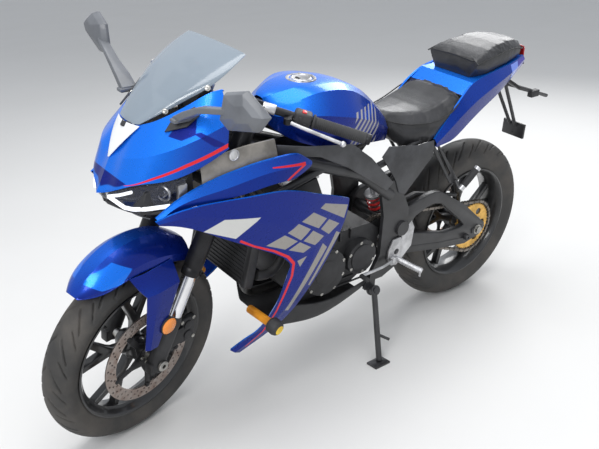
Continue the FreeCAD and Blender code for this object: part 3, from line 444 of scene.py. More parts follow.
def make_finishes():
    """All the materials, by the name that pieces ask for."""
    FINISH.update({
        "paint": body_paint("Blue lacquer"),
        # The third value lifts a panel's painted highlight and shade: paler on the nose, darker on the fender
        "nose": body_paint("Blue lacquer with a red line", nose_marks, 0.32),
        "fender": body_paint("Blue lacquer of the fender", fender_marks, -0.45),
        "fairing": body_paint("Blue lacquer with grey blocks", fairing_marks),
        "wing": body_paint("Blue lacquer with a chevron", wing_marks),
        "tank": body_paint("Blue lacquer with grey stripes", tank_marks),
        "tail": body_paint("Blue lacquer with painted shade and highlights", tail_marks),
        "tyre": tyre_finish("Tyre rubber"),
        "wheel": plain("Black wheel enamel", (0.012, 0.012, 0.013), 0.32, coat=0.5),
        "disc_front": disc_finish("Front disc steel", STEERED, FRONT_AXLE),
        "disc_rear": disc_finish("Rear disc steel", MACHINE, REAR_AXLE),
        "carrier": plain("Black anodised alloy", (0.016, 0.016, 0.018), 0.38, metal=0.6),
        "frame": plain("Satin black frame paint", (0.022, 0.022, 0.024), 0.42, coat=0.15, grain=700.0),
        "cover": plain("Grey-black frame cover", (0.045, 0.046, 0.050), 0.46, grain=1500.0, depth=0.00009),
        "plastic": plain("Grained black plastic", (0.020, 0.020, 0.022), 0.55, grain=1800.0, depth=0.00012),
        "engine": plain("Black engine casting", (0.026, 0.026, 0.028), 0.48, metal=0.35, grain=500.0,
            depth=0.0002),
        "alloy": plain("Cast alloy", (0.52, 0.52, 0.53), 0.38, metal=0.9, grain=350.0, depth=0.00010),
        "steel": plain("Zinc plated steel", (0.50, 0.49, 0.46), 0.30, metal=1.0),
        "chrome": plain("Hard chrome", (0.74, 0.74, 0.76), 0.10, metal=1.0, depth=0.00001, spread=0.06),
        "chain": plain("Oiled chain steel", (0.20, 0.18, 0.16), 0.40, metal=0.9),
        "gold": plain("Gold anodised alloy", (0.70, 0.42, 0.11), 0.32, metal=1.0),
        "rubber": plain("Grip rubber", (0.020, 0.020, 0.021), 0.66, grain=900.0, depth=0.0001),
        "mirror_shell": plain("Grey mirror shell", (0.115, 0.122, 0.135), 0.40, coat=0.2, spread=0.12),
        "inner": plain("Taupe inner panel", (0.20, 0.185, 0.165), 0.45, grain=1500.0, depth=0.00009),
        "glass": plain("Mirror glass", (0.80, 0.82, 0.84), 0.03, metal=1.0, depth=0.0, spread=0.02),
        "slider": plain("Orange anodised tube", chosen("sliders"), 0.34, metal=0.25),
        "slider_cap": plain("Amber bobbin insert", (0.92, 0.52, 0.03), 0.45),
        "silencer": plain("Heat proof black", (0.030, 0.029, 0.028), 0.44, metal=0.4),
        "red": plain("Red control", (0.62, 0.02, 0.02), 0.38, coat=0.3),
        "white": plain("Pale plastic", (0.72, 0.73, 0.74), 0.35, coat=0.4, spread=0.05),
        "amber": plain("Amber reflector", (0.90, 0.26, 0.01), 0.25, coat=0.8, spread=0.12),
        "lamp_red": plain("Red lamp lens", (0.50, 0.01, 0.015), 0.16, coat=1.0, spread=0.15),
        "reflector": plain("Bright lamp reflector", (0.80, 0.81, 0.83), 0.09, metal=1.0, spread=0.05),
        "vinyl": plain("Black vinyl", (0.020, 0.020, 0.022), 0.44, coat=0.12, grain=1300.0, depth=0.00022),
        "thread": plain("Black piping", (0.012, 0.012, 0.012), 0.6),
        "radiator": plain("Radiator core", (0.030, 0.030, 0.032), 0.5, metal=0.4),
        "hose": plain("Hose rubber", (0.018, 0.018, 0.018), 0.5),
    })
    smoke = Finish("Smoke screen", (0.24, 0.29, 0.34), 0.12, coat=0.6, Alpha=0.8)
    veil = smoke.noise(6.0, 2.0)
    FINISH["screen"] = smoke.shows(Alpha=0.74 + veil * 0.14, Roughness=0.10 + veil * 0.06)
    lens = Finish("Dark blue tinted lens", (0.010, 0.016, 0.045), 0.05, coat=1.0, Alpha=0.34)
    tint = lens.noise(8.0, 2.0)
    FINISH["lens"] = lens.shows(Alpha=0.26 + tint * 0.14)
    light = Finish("Running light strip", (0.86, 0.88, 0.90), 0.30, coat=0.6)
    light.shows(Emission_Strength=0.6)
    FINISH["strip"] = light.shows(Emission_Color=light.blend(light.noise(30.0), rgba(0.85, 0.9, 1.0),
        rgba(1, 1, 1)))


# Modelling helpers
def bare():
    """Object mode, with nothing selected."""
    if bpy.context.object and bpy.context.object.mode != "OBJECT":
        bpy.ops.object.mode_set(mode="OBJECT")
    bpy.ops.object.select_all(action="DESELECT")


def only(piece):
    bare()
    piece.select_set(True)
    bpy.context.view_layer.objects.active = piece
    return piece


def modify(piece, kind, **settings):
    """Adds one modifier and applies it."""
    modifier = piece.modifiers.new(kind.title(), kind)
    for key, value in settings.items():
        setattr(modifier, key, value)
    only(piece)
    bpy.ops.object.modifier_apply(modifier=modifier.name)
    return piece


def softened(piece, width, segments=2, angle=35):
    return modify(piece, "BEVEL", width=width, segments=segments, limit_method="ANGLE",
        angle_limit=radians(angle), use_clamp_overlap=True, miter_outer="MITER_ARC")


def joined(pieces):
    only(pieces[0])
    for piece in pieces[1:]:
        piece.select_set(True)
    bpy.ops.object.join()
    return pieces[0]


def copied(piece, change):
    """A copy with its own mesh, moved by a matrix."""
    only(piece)
    bpy.ops.object.duplicate()
    copy = bpy.context.object
    copy.data.transform(change)
    if change.determinant() < 0:
        copy.data.flip_normals()
    return copy


OTHER_SIDE = Matrix.Scale(-1, 4, Y_AXIS)


def cut(piece, cutter):
    """Takes a cutter's volume away from a piece."""
    modify(piece, "BOOLEAN", object=cutter, operation="DIFFERENCE", solver="EXACT")
    bpy.data.objects.remove(cutter)
    return piece


def both(piece):
    return joined([piece, copied(piece, OTHER_SIDE)])


def ring_of(piece, count):
    """Copies of a piece all round the Y direction through the origin."""
    turns = [Matrix.Rotation(2 * pi * n / count, 4, Y_AXIS) for n in range(1, count)]
    return joined([piece] + [copied(piece, turn) for turn in turns])


def edited(piece, **steps):
    """Runs mesh operators on all of a piece, each given as its name and settings."""
    only(piece)
    bpy.ops.object.mode_set(mode="EDIT")
    bpy.ops.mesh.select_all(action="SELECT")
    for name, settings in steps.items():
        getattr(bpy.ops.mesh, name)(**settings)
    bpy.ops.object.mode_set(mode="OBJECT")
    return piece


def outwards(piece):
    """Doubles merged and faces turned outwards on a closed piece."""
    return edited(piece, remove_doubles={"threshold": 0.01}, dissolve_degenerate={"threshold": 0.01},
        normals_make_consistent={"inside": False})


def outline_of(points, fill="NGON"):
    """Closed outline through points in space, filled or not."""
    bare()
    bpy.ops.mesh.primitive_circle_add(vertices=len(points), fill_type=fill)
    piece = bpy.context.object
    for vertex, point in zip(piece.data.vertices, points):
        vertex.co = point
    return piece


def block(low, high, bevel=2.0, turn=None, segments=2):
    """Box between two corners, with rounded edges, turned about its middle."""
    bare()
    low, high = Vector(low), Vector(high)
    bpy.ops.mesh.primitive_cube_add(size=1)
    piece = bpy.context.object
    sides = Matrix.Diagonal(high - low).to_4x4()
    piece.data.transform(Matrix.Translation((low + high) / 2) @ (turn or Matrix()) @ sides)
    return softened(piece, bevel, segments) if bevel else piece


def rod(start, end, radius, steps=32, bevel=0.0):
    """Cylinder between two points."""
    bare()
    start, end = Vector(start), Vector(end)
    run = end - start
    bpy.ops.mesh.primitive_cone_add(vertices=steps, radius1=radius, depth=run.length, radius2=radius)
    piece = bpy.context.object
    turn = run.to_track_quat("Z", "Y").to_matrix().to_4x4()
    piece.data.transform(Matrix.Translation((start + end) / 2) @ turn)
    return softened(piece, bevel) if bevel else piece


def drum(centre, radius, y_low, y_high, steps=48, bevel=0.0):
    return rod((centre[0], y_low, centre[2]), (centre[0], y_high, centre[2]), radius, steps, bevel)


def pipe(points, radius, steps=3, order=3):
    """Smooth tube along a path that is straight near its ends."""
    bare()
    bpy.ops.curve.primitive_nurbs_path_add()
    path = bpy.context.object
    path.data.splines.clear()
    line = path.data.splines.new("NURBS")
    line.points.add(len(points) - 1)
    for point, place in zip(line.points, points):
        point.co = (*place, 1.0)
    line.order_u = order
    line.use_endpoint_u = True
    line.resolution_u = 8
    path.data.dimensions = "3D"
    path.data.bevel_depth = radius
    path.data.bevel_resolution = steps
    path.data.use_fill_caps = True
    only(path)
    bpy.ops.object.convert(target="MESH")
    return bpy.context.object


def plate(outline, y_low, y_high, bevel=1.5, segments=2):
    """Plate with an outline in the side view, from one Y to another."""
    piece = outline_of([(x, y_low, z) for x, z in outline])
    edited(piece, extrude_region_move={"TRANSFORM_OT_translate": {"value": (0, y_high - y_low, 0)}})
    edited(piece, normals_make_consistent={"inside": False})
    return softened(piece, bevel, segments) if bevel else piece


def lathe(profile, centre, steps=96, axis=Y_AXIS):
    """Solid turned about an axis through a point, from a closed profile of (along the axis, radius)."""
    piece = outline_of([(0, along, radius) for along, radius in profile], "NOTHING")
    edited(piece, spin={"steps": steps, "angle": 2 * pi, "center": (0, 0, 0), "axis": (0, 1, 0)})
    outwards(piece)
    piece.data.transform(Matrix.Translation(centre) @ Y_AXIS.rotation_difference(axis).to_matrix().to_4x4())
    return piece


def grid(rows):
    """Open grid through rows of points, with each vertex's row and column."""
    across, down = len(rows[0]) - 1, len(rows) - 1
    bare()
    bpy.ops.mesh.primitive_grid_add(x_subdivisions=across, y_subdivisions=down, size=1)
    piece = bpy.context.object
    where = {}
    for vertex in piece.data.vertices:
        column = round((vertex.co.x + 0.5) * across)
        row = round((vertex.co.y + 0.5) * down)
        vertex.co = rows[row][column]
        where[vertex.index] = (row, column)
    return piece, where


def skin(rows, wall=PANEL_WALL, levels=2, sharp_rows=(), sharp_columns=(), mirror=False, inside=None,
        edge=0.8):
    """Smooth panel through rows of points, creased where asked, with its wall to the inside."""
    piece, where = grid(rows)
    crease = piece.data.attributes.new("crease_edge", "FLOAT", "EDGE")
    sharp_rows = {row % len(rows) for row in sharp_rows}
    sharp_columns = {column % len(rows[0]) for column in sharp_columns}
    for line in piece.data.edges:
        first, second = (where[index] for index in line.vertices)
        in_row = first[0] == second[0] and first[0] in sharp_rows
        in_column = first[1] == second[1] and first[1] in sharp_columns
        if in_row or in_column:
            crease.data[line.index].value = 1.0
    corners = [vertex.co for vertex in piece.data.vertices]
    middle = sum(corners, Vector()) / len(corners)
    inside = Vector(inside) if inside else xyz(middle.x, 0, middle.z)
    lean = sum(face.normal.dot(face.center - inside) * face.area for face in piece.data.polygons)
    if lean < 0:
        piece.data.flip_normals()
    if mirror:
        modify(piece, "MIRROR", use_axis=(False, True, False), merge_threshold=0.5, use_clip=True)
    if levels:
        modify(piece, "SUBSURF", levels=levels, render_levels=levels, boundary_smooth="PRESERVE_CORNERS")
    if wall:
        modify(piece, "SOLIDIFY", thickness=wall, offset=-1.0, use_even_offset=True)
        softened(piece, edge, 2, 50)
    return piece


def rib(top, middle, low, top_in, low_in):
    """Section of a panel through three points, halved between them, with its edges turned in."""
    top, middle, low = Vector(top), Vector(middle), Vector(low)
    return [top + Vector(top_in), top, (top + middle) / 2, middle, (middle + low) / 2, low,
        low + Vector(low_in)]


def returned(ribs, top_in, low_in):
    return [rib(*points, top_in, low_in) for points in ribs]


def loft(rows):
    """Closed solid through closed sections of as many points each."""
    rows = [row + row[:1] for row in rows]
    piece = only(grid(rows)[0])
    bpy.ops.object.mode_set(mode="EDIT")
    bpy.ops.mesh.select_all(action="SELECT")
    bpy.ops.mesh.remove_doubles(threshold=0.05)
    bpy.ops.mesh.select_all(action="DESELECT")
    bpy.ops.mesh.select_non_manifold()
    bpy.ops.mesh.fill_holes(sides=0)
    bpy.ops.mesh.select_all(action="SELECT")
    bpy.ops.mesh.normals_make_consistent(inside=False)
    bpy.ops.object.mode_set(mode="OBJECT")
    return piece


def leaf(corners, thick):
    """Flat plate through corners in space, thickened away from the middle of the machine."""
    corners = [Vector(corner) for corner in corners]
    piece = outline_of(corners)
    piece.data.update()
    middle = sum(corners, Vector()) / len(corners)
    normal = piece.data.polygons[0].normal
    if normal.dot(xyz(middle.x - 700, middle.y * 3, middle.z - 600)) < 0:
        piece.data.flip_normals()
    modify(piece, "SOLIDIFY", thickness=thick, offset=1.0)
    return softened(piece, 0.8)


def bolt(place, axis, radius=5.0, height=3.5):
    """Button head screw with its washer and hexagon socket."""
    axis = Vector(axis).normalized()
    profile = [(0.0, 0.0), (0.0, radius * 1.35), (height * 0.3, radius * 1.35), (height * 0.3, radius),
        (height * 0.75, radius * 0.92), (height, radius * 0.6), (height, radius * 0.45),
        (height * 0.45, radius * 0.42), (height * 0.45, 0.0)]
    return lathe(profile, Vector(place), 18, axis)


def bolts(places, axis, radius=5.0, height=3.5):
    return joined([bolt(place, axis, radius, height) for place in places])


def cad_copy(node, width=1.5, segments=2):
    """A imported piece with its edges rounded, as millimetres on the machine."""
    source = frame["nodes"][node]
    bare()
    copy = bpy.data.objects.new(node + "_copy", source.data.copy())
    bpy.context.scene.collection.objects.link(copy)
    body = source["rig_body"]
    copy.data.transform(PLACE[body].inverted())
    edited(copy, remove_doubles={"threshold": 0.02}, dissolve_limited={"angle_limit": radians(1.0)})
    if width:
        softened(copy, width, segments, 40)
    return copy


def dress(piece, name, finish, nodes=(), body="chassis", smooth=38):
    """Puts a piece, or a list joined to one, in its place in the frame, with its finish and body."""
    piece = joined(piece) if isinstance(piece, list) else only(piece)
    piece.name = name
    piece.data.name = name
    if smooth:
        bpy.ops.object.shade_smooth_by_angle(angle=radians(smooth))
    piece.data.transform(PLACE[body] @ piece.matrix_world)
    piece.matrix_world = Matrix()
    piece.data.materials.clear()
    piece.data.materials.append(FINISH[finish].material)
    if finish in PAINTS:
        mark_slope(piece)
    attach(piece, body)
    if nodes:
        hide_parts(*nodes)
    return piece


# Finishes of the painted body panels
PAINTS = ("paint", "fender", "nose", "fairing", "wing", "tank", "tail")
# Direction in which a face gets the full painted highlight
SKYWARD = xyz(0.36, 0.0, 0.93)


def mark_slope(piece):
    """How far each corner of a painted piece looks up and ahead, as its own attribute, which its material
    turns into painted highlight and shade.
    """
    looks = [corner.vector.dot(SKYWARD) for corner in piece.data.corner_normals]
    slope = piece.data.attributes.new("slope", "FLOAT", "CORNER")
    for corner, look in zip(slope.data, looks):
        corner.value = look


def repaint(node, finish):
    """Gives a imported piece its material."""
    piece = frame["nodes"][node]
    piece.data.materials.clear()
    piece.data.materials.append(FINISH[finish].material)
    only(piece)
    bpy.ops.object.shade_smooth_by_angle(angle=radians(30))


# Tyres
def tread_depth(along, across, pitch, half):
    """Depth of the tread at a place of one pitch, from 0 to 1: long grooves, short ones between."""
    side = abs(across)
    depth = 0.0
    for start, first, last, sweep, width in ((0.0, 9.0, 0.80 * half, 1.25, 7.0),
            (0.5 * pitch, 0.42 * half, 0.97 * half, 0.85, 5.6)):
        if not first - 3 < side < last + 3:
            continue
        line = start + sweep * side + 0.006 * side * side
        off = (along - line + pitch / 2) % pitch - pitch / 2
        near = max(0.0, 1 - abs(off) / (width * 0.5 * sqrt(1 + sweep * sweep)))
        ends = min(1.0, max(0.0, (side - first) / 4 + 0.6), max(0.0, (last - side) / 4 + 0.6))
        depth = max(depth, min(1.0, near * 2.2) * ends)
    return depth


def tyre(name, axle, radius, crown, rim_width, pitches, body, node):
    """Tyre with its tread, modelled as one pitch and spun round the axle."""
    depth = bpy.context.scene.motorcycle_sizes.groove_depth / MM
    pitch = 2 * pi * radius / pitches
    shoulder = radians(60)
    half = crown * shoulder
    outline = []
    steps = 46
    for n in range(steps + 1):
        angle = -shoulder + 2 * shoulder * n / steps
        outline.append((crown * sin(angle), radius - crown + crown * cos(angle), crown * angle, angle))
    shoulder_y, shoulder_r = outline[-1][0], outline[-1][1]
    side = []
    for share in (0.16, 0.34, 0.52, 0.7, 0.86, 1.0):
        bow = sin(pi * min(1.0, share + 0.12)) * 6.0
        wide = shoulder_y + (rim_width / 2 - shoulder_y) * share ** 1.6 + bow * (1 - share)
        side.append((wide, shoulder_r + (BEAD + 1 - shoulder_r) * share))
    inner = [(rim_width / 2 - 5, BEAD - 6), (rim_width / 2 - 18, BEAD + 2)]
    cells = 30
    rows = []
    for step in range(cells + 1):
        row = []
        along = pitch * step / cells
        turn = Matrix.Rotation(2 * pi / pitches * step / cells, 3, Y_AXIS)
        for y, r, across, angle in outline:
            sink = depth * tread_depth(along, across, pitch, half)
            row.append(turn @ xyz(0, y - sink * sin(angle), r - sink * cos(angle)))
        right = [turn @ xyz(0, y, r) for y, r in side + inner]
        left = [turn @ xyz(0, -y, r) for y, r in reversed(side + inner)]
        rows.append(left + row + right + [left[0]])
    piece = edited(grid(rows)[0], spin={"steps": pitches, "dupli": True, "angle": 2 * pi, "center": (0, 0, 0),
        "axis": (0, 1, 0)})
    outwards(piece)
    piece.data.transform(Matrix.Translation(axle))
    dress(piece, name, "tyre", [node], body, smooth=50)


class MOTORCYCLE_OT_tyres(bpy.types.Operator):
    """Both tyres with their tread"""
    bl_idname = "motorcycle.tyres"
    bl_label = "Tyres"

    def execute(self, context):
        sizes = context.scene.motorcycle_sizes
        tyre("front_tyre_rubber", FRONT_AXLE, FRONT_RADIUS, FRONT_CROWN, 70, sizes.front_pitches,
            "front_wheel_body", "front_tyre")
        tyre("rear_tyre_rubber", REAR_AXLE, REAR_RADIUS, REAR_CROWN, 102, sizes.rear_pitches,
            "rear_wheel_body", "rear_tyre")
        return {"FINISHED"}


# Wheels
SPOKE = [(-15, 24), (15, 24), (11, 84), (15, 100), (54, 190), (38, 198), (0, 124), (-38, 198), (-54, 190),
    (-15, 100), (-11, 84)]


def wheel(name, axle, rim_width, hub, body, node):
    """Cast wheel: dropped rim barrel, hub and five forked spokes."""
    half = rim_width / 2
    barrel = [(-half - 5, BEAD + 3), (-half + 3, BEAD + 1), (0, BEAD - 8), (half - 3, BEAD + 1),
        (half + 5, BEAD + 3), (half + 6, BEAD - 2), (half, BEAD - 9), (half * 0.72, BEAD - 13),
        (half * 0.5, BEAD - 22), (0, BEAD - 24), (-half * 0.5, BEAD - 22), (-half * 0.72, BEAD - 13),
        (-half, BEAD - 9), (-half - 6, BEAD - 2)]
    rim = lathe(barrel, ORIGIN, 128)
    spoke = ring_of(plate(SPOKE, -13, 13, 4.0, 3), SPOKES)
    hub_profile = [(-hub, 10), (-hub, 26), (-hub + 8, 32), (-18, 34), (-14, 40), (14, 40), (18, 34),
        (hub - 8, 32), (hub, 26), (hub, 10)]
    core = lathe(hub_profile, ORIGIN, 48)
    piece = joined([rim, spoke, core])
    piece.data.transform(Matrix.Translation(axle))
    dress(piece, name, "wheel", [node], body)
    valve = joined([rod((0, 4, BEAD - 22), (0, 4, BEAD - 52), 4, 16),
        rod((0, 4, BEAD - 50), (0, 4, BEAD - 58), 5, 16)])
    valve.data.transform(Matrix.Translation(axle) @ Matrix.Rotation(0.7, 4, Y_AXIS))
    dress(valve, name + "_valve", "rubber", body=body)


class MOTORCYCLE_OT_wheels(bpy.types.Operator):
    """Both cast wheels"""
    bl_idname = "motorcycle.wheels"
    bl_label = "Wheels"

    def execute(self, context):
        wheel("front_wheel_casting", FRONT_AXLE, 70, 52, "front_wheel_body", "front_wheel")
        wheel("rear_wheel_casting", REAR_AXLE, 102, 56, "rear_wheel_body", "rear_wheel")
        return {"FINISHED"}


# Brakes
def drilled_ring(radius, inner, thick, rows, count):
    """Disc with staggered rows of holes."""
    ring = lathe([(-thick / 2, inner), (-thick / 2, radius - 0.6), (-thick / 2 + 0.6, radius),
        (thick / 2 - 0.6, radius), (thick / 2, radius - 0.6), (thick / 2, inner)], ORIGIN, 120)
    holes = []
    for row in range(rows):
        at = inner + (radius - inner) * (row + 0.75) / (rows + 0.5)
        for n in range(count):
            angle = 2 * pi * (n + row / rows) / count
            holes.append(rod((at * cos(angle), -9, at * sin(angle)), (at * cos(angle), 9, at * sin(angle)),
                3.2, 10))
    return cut(ring, joined(holes))


def brake_disc(name, axle, radius, offset, hub_face, body, node, finish):
    """Drilled disc on a five armed carrier."""
    inner = radius * 0.76
    ring = drilled_ring(radius, inner, 4.5, 3, 30)
    ring.data.transform(Matrix.Translation(axle + Y_AXIS * offset))
    dress(ring, name, finish, [node], body)
    arm = plate([(-24, 28), (24, 28), (9, 62), (7, inner + 3), (-7, inner + 3), (-9, 62)], -2, 2, 1.0)
    pins = ring_of(drum((0, 0, inner + 1), 8, -4, 4, 20, 1.0), SPOKES)
    low, high = sorted((hub_face - offset, 3 if offset > 0 else -3))
    core = lathe([(low, 13), (low, 33), (high, 33), (high, 13)], ORIGIN, 48)
    carrier = joined([ring_of(arm, SPOKES), pins, core])
    carrier.data.transform(Matrix.Translation(axle + Y_AXIS * offset)
        @ Matrix.Rotation(radians(36), 4, Y_AXIS))
    dress(carrier, name + "_carrier", "carrier", body=body)
    heads = ring_bolts(axle, 22, offset + (3 if offset > 0 else -3), 5)
    dress(heads, name + "_bolts", "steel", body=body)


def caliper(name, low, high, body, node, disc_y):
    """Two-piston caliper: a body in two halves over the disc, with its pistons' bosses and bolts."""
    low, high = Vector(low), Vector(high)
    outer = block((low.x, disc_y + 5, low.z), (high.x, high.y, high.z), 6.0, None, 3)
    inner = block((low.x + 4, low.y, low.z + 6), (high.x - 4, disc_y - 5, high.z - 6), 5.0, None, 3)
    middle = (low + high) / 2
    bosses = [drum((middle.x, 0, middle.z + shift), 15, high.y - 3, high.y + 4, 32, 2.0)
        for shift in (-18, 18)]
    piece = joined([outer, inner] + bosses)
    dress(piece, name, "engine", [node], body)
    heads = bolts([(low.x + 7, high.y, low.z + 8), (low.x + 7, high.y, high.z - 8),
        (high.x - 7, high.y, high.z - 8)], Y_AXIS, 4.2)
    dress(heads, name + "_bolts", "steel", body=body)


class MOTORCYCLE_OT_brakes(bpy.types.Operator):
    """Brake discs and calipers"""
    bl_idname = "motorcycle.brakes"
    bl_label = "Brakes"

    def execute(self, context):
        brake_disc("front_disc_ring", FRONT_AXLE, 148, 59, 52, "front_wheel_body", "front_disc", "disc_front")
        brake_disc("rear_disc_ring", REAR_AXLE, 110, -66, -56, "rear_wheel_body", "rear_disc", "disc_rear")
        caliper("front_caliper_body", (1206, 42, 284), (1264, 84, 370), "steering", "front_caliper", 59)
        mount = plate([(1256, 300), (1335, 292), (1338, 322), (1322, 350), (1256, 352)], 78, 90, 2.0)
        dress(mount, "front_caliper_mount", "engine", body="steering")
        caliper("rear_caliper_body", (60, -88, 372), (128, -56, 422), "chassis", "rear_caliper", -66)
        return {"FINISHED"}


# Chain and sprocket
DRIVE_CENTRE = xyz(512, 0, 455)
CHAIN_Y = 83.5
SPROCKET_PITCH_RADIUS = 100.0
DRIVE_PITCH_RADIUS = 41.5


def chain_path():
    """Length of the chain's loop, and a function for the point and direction at a distance along it."""
    between = DRIVE_CENTRE - REAR_AXLE
    tilt = atan2(between.z, between.x)
    opening = acos((SPROCKET_PITCH_RADIUS - DRIVE_PITCH_RADIUS) / between.length)
    up, down = tilt + opening, tilt - opening
    span = sqrt(between.length_squared - (SPROCKET_PITCH_RADIUS - DRIVE_PITCH_RADIUS) ** 2)
    small_turn = up - down
    large_turn = 2 * pi - small_turn
    small_arc = DRIVE_PITCH_RADIUS * small_turn
    large_arc = SPROCKET_PITCH_RADIUS * large_turn

    def on_circle(centre, radius, angle):
        return xyz(centre.x + radius * cos(angle), 0, centre.z + radius * sin(angle))

    def at(way):
        if way < large_arc:
            angle = up + way / SPROCKET_PITCH_RADIUS
            return on_circle(REAR_AXLE, SPROCKET_PITCH_RADIUS, angle), angle + pi / 2
        way -= large_arc
        if way < span:
            start = on_circle(REAR_AXLE, SPROCKET_PITCH_RADIUS, down)
            return start + (on_circle(DRIVE_CENTRE, DRIVE_PITCH_RADIUS,
                down) - start) * (way / span), down + pi / 2
        way -= span
        if way < small_arc:
            angle = down + way / DRIVE_PITCH_RADIUS
            return on_circle(DRIVE_CENTRE, DRIVE_PITCH_RADIUS, angle), angle + pi / 2
        way -= small_arc
        start = on_circle(DRIVE_CENTRE, DRIVE_PITCH_RADIUS, up)
        return start + (on_circle(REAR_AXLE, SPROCKET_PITCH_RADIUS, up) - start) * (way / span), up + pi / 2

    return large_arc + small_arc + 2 * span, at


def link(pitch, plate_y):
    """One link along X from the origin: two waisted side plates and a roller."""
    outline = []
    for centre, first in ((pitch, -60), (0, 120)):
        outline += [(centre + 6.2 * cos(radians(first + 60 * n)), 6.2 * sin(radians(first + 60 * n)))
            for n in range(3)]
        outline.append((pitch / 2, 3.6 if centre else -3.6))
    plates = [plate(outline, side * plate_y - 0.9, side * plate_y + 0.9, 0) for side in (1, -1)]
    return joined(plates + [drum((0, 0, 0), 4.6, -plate_y, plate_y, 10), drum((0, 0, 0), 2.4, -7.4, 7.4, 8)])


class MOTORCYCLE_OT_chain(bpy.types.Operator):
    """Chain of separate links, the rear sprocket and the chain guard"""
    bl_idname = "motorcycle.chain"
    bl_label = "Chain"

    def execute(self, context):
        whole, at = chain_path()
        count = 2 * round(whole / (context.scene.motorcycle_sizes.chain_pitch / MM) / 2)
        pitch = whole / count
        inner, outer = link(pitch, 4.3), link(pitch, 6.3)
        links = []
        for number in range(count):
            point, heading = at(pitch * number)
            place = Matrix.Translation(point + Y_AXIS * CHAIN_Y) @ Matrix.Rotation(-heading, 4, Y_AXIS)
            links.append(copied(outer if number % 2 else inner, place))
        for spare in (inner, outer):
            bpy.data.objects.remove(spare)
        dress(links, "chain_links", "chain", ["chain"], smooth=30)
        self.sprocket()
        guard = plate([(118, 468), (330, 530), (424, 518), (424, 524), (330, 540), (108, 476)], 76, 91, 1.5)
        dress(guard, "chain_guard_moulding", "plastic", ["chain_guard"])
        return {"FINISHED"}

    def sprocket(self):
        """Toothed ring with windows, bolted to the hub."""
        teeth = 43
        outline = []
        for number in range(teeth):
            for share, radius in ((0.0, 90), (0.2, 88), (0.34, 92.5), (0.45, 94), (0.55, 94), (0.66, 92.5),
                    (0.8, 88)):
                angle = 2 * pi * (number + share) / teeth
                outline.append((radius * cos(angle), radius * sin(angle)))
        ring = plate(outline, -3, 3, 0.5, 1)
        windows = ring_of(drum((62, 0, 0), 13.5, -9, 9, 32), 6)
        cut(ring, windows)
        hub = lathe([(-27, 13), (-27, 34), (-6, 34), (-3, 44), (3, 44), (3, 13)], ORIGIN, 64)
        piece = joined([ring, hub])
        piece.data.transform(Matrix.Translation(REAR_AXLE + Y_AXIS * CHAIN_Y))
        dress(piece, "rear_sprocket_ring", "gold", ["rear_sprocket"], "rear_wheel_body")
        nuts = ring_bolts(REAR_AXLE, 44, CHAIN_Y + 3, 6, pi / 6, 5.0, 5.0)
        dress(nuts, "sprocket_nuts", "steel", body="rear_wheel_body")


# Frame and swingarm
ARM_OUTLINE = [(452, 484), (420, 505), (300, 530), (262, 534), (232, 528), (90, 440), (-14, 352), (-40, 332),
    (-44, 316), (-36, 298), (-18, 286), (60, 270), (200, 292), (400, 335), (436, 372), (456, 420)]
ARM_WINDOW = [(350, 464), (300, 482), (262, 488), (220, 478), (110, 385), (80, 354), (100, 349), (180, 352),
    (360, 404), (372, 430)]


class MOTORCYCLE_OT_frame(bpy.types.Operator):
    """Frame, seat frame, swingarm, axle and shock"""
    bl_idname = "motorcycle.frame"
    bl_label = "Frame"

    def execute(self, context):
        for node in ("main_frame", "subframe", "stand_bracket"):
            repaint(node, "frame")
        arm = plate(ARM_OUTLINE, 92, 116, 0)
        cut(arm, plate(ARM_WINDOW, 80, 130, 0))
        softened(arm, 4.0, 3, 30)
        rib = plate([(60, 292), (200, 312), (392, 352), (392, 360), (200, 320), (60, 300)], 113, 117.5, 1.5)
        slot_rim = block((-26, 113, 304), (30, 119, 326), 2.0)
        arms = both(joined([arm, rib, slot_rim]))
        tube = rod((430, -92, 452), (430, 92, 452), 20, 40)
        bridge = block((352, -92, 292), (392, 92, 334), 6.0)
        dress([arms, tube, bridge], "swingarm_casting", "frame", ["swingarm"])
        self.axle()
        self.shock()
        return {"FINISHED"}

    def axle(self):
        shaft = rod((0, -131, REAR_RADIUS), (0, 131, REAR_RADIUS), 8.3, 32, 1.0)
        nuts = [rod((0, side * 116, REAR_RADIUS), (0, side * 129, REAR_RADIUS), 15, 6, 1.2)
            for side in (1, -1)]
        washers = [rod((0, side * 116, REAR_RADIUS), (0, side * 119.5, REAR_RADIUS), 19, 40, 0.8)
            for side in (1, -1)]
        collars = [drum(REAR_AXLE, 16, low, high, 32) for low, high in ((87, 92), (-92, -68.6))]
        dress([shaft] + nuts + washers + collars, "rear_axle_bolt", "steel", ["rear_axle"])
        boss = lathe([(0, 4.2), (0, 12), (12, 12), (14, 10.5), (14, 4.2)], xyz(60, 116, 300), 32)
        dress(both(boss), "spool_boss_pair", "frame", ["spool_bosses"])

    def shock(self):
        low, high = xyz(372, 0, 345), xyz(470, 0, 590)
        run = (high - low).normalized()
        damper = rod(low + run * 30, low + run * 200, 17, 32, 1.5)
        shaft = rod(low, high, 8, 24)
        seats = [rod(low + run * a, low + run * b, 31, 40, 2.0) for a, b in ((36, 44), (196, 206))]
        turns, steps = 7, 16
        coil = [low + run * (46 + 148 * n / (turns * steps)) + Matrix.Rotation(2 * pi * n / steps, 3, run)
            @ (Y_AXIS * 25.5) for n in range(turns * steps + 1)]
        spring = pipe(coil, 4.5, 2)
        dress([damper, shaft] + seats, "shock_body", "alloy", ["shock"])
        dress(spring, "shock_spring", "red")


# Engine
def ring_bolts(centre, radius, face_y, count, turn=0.0, size=4.2, height=3.5):
    """Screws on a circle about the Y direction, with their heads away from the middle."""
    turns = [turn + 2 * pi * n / count for n in range(count)]
    return bolts([(centre[0] + radius * cos(a), face_y, centre[2] + radius * sin(a)) for a in turns],
        Y_AXIS * (1 if face_y > 0 else -1), size, height)


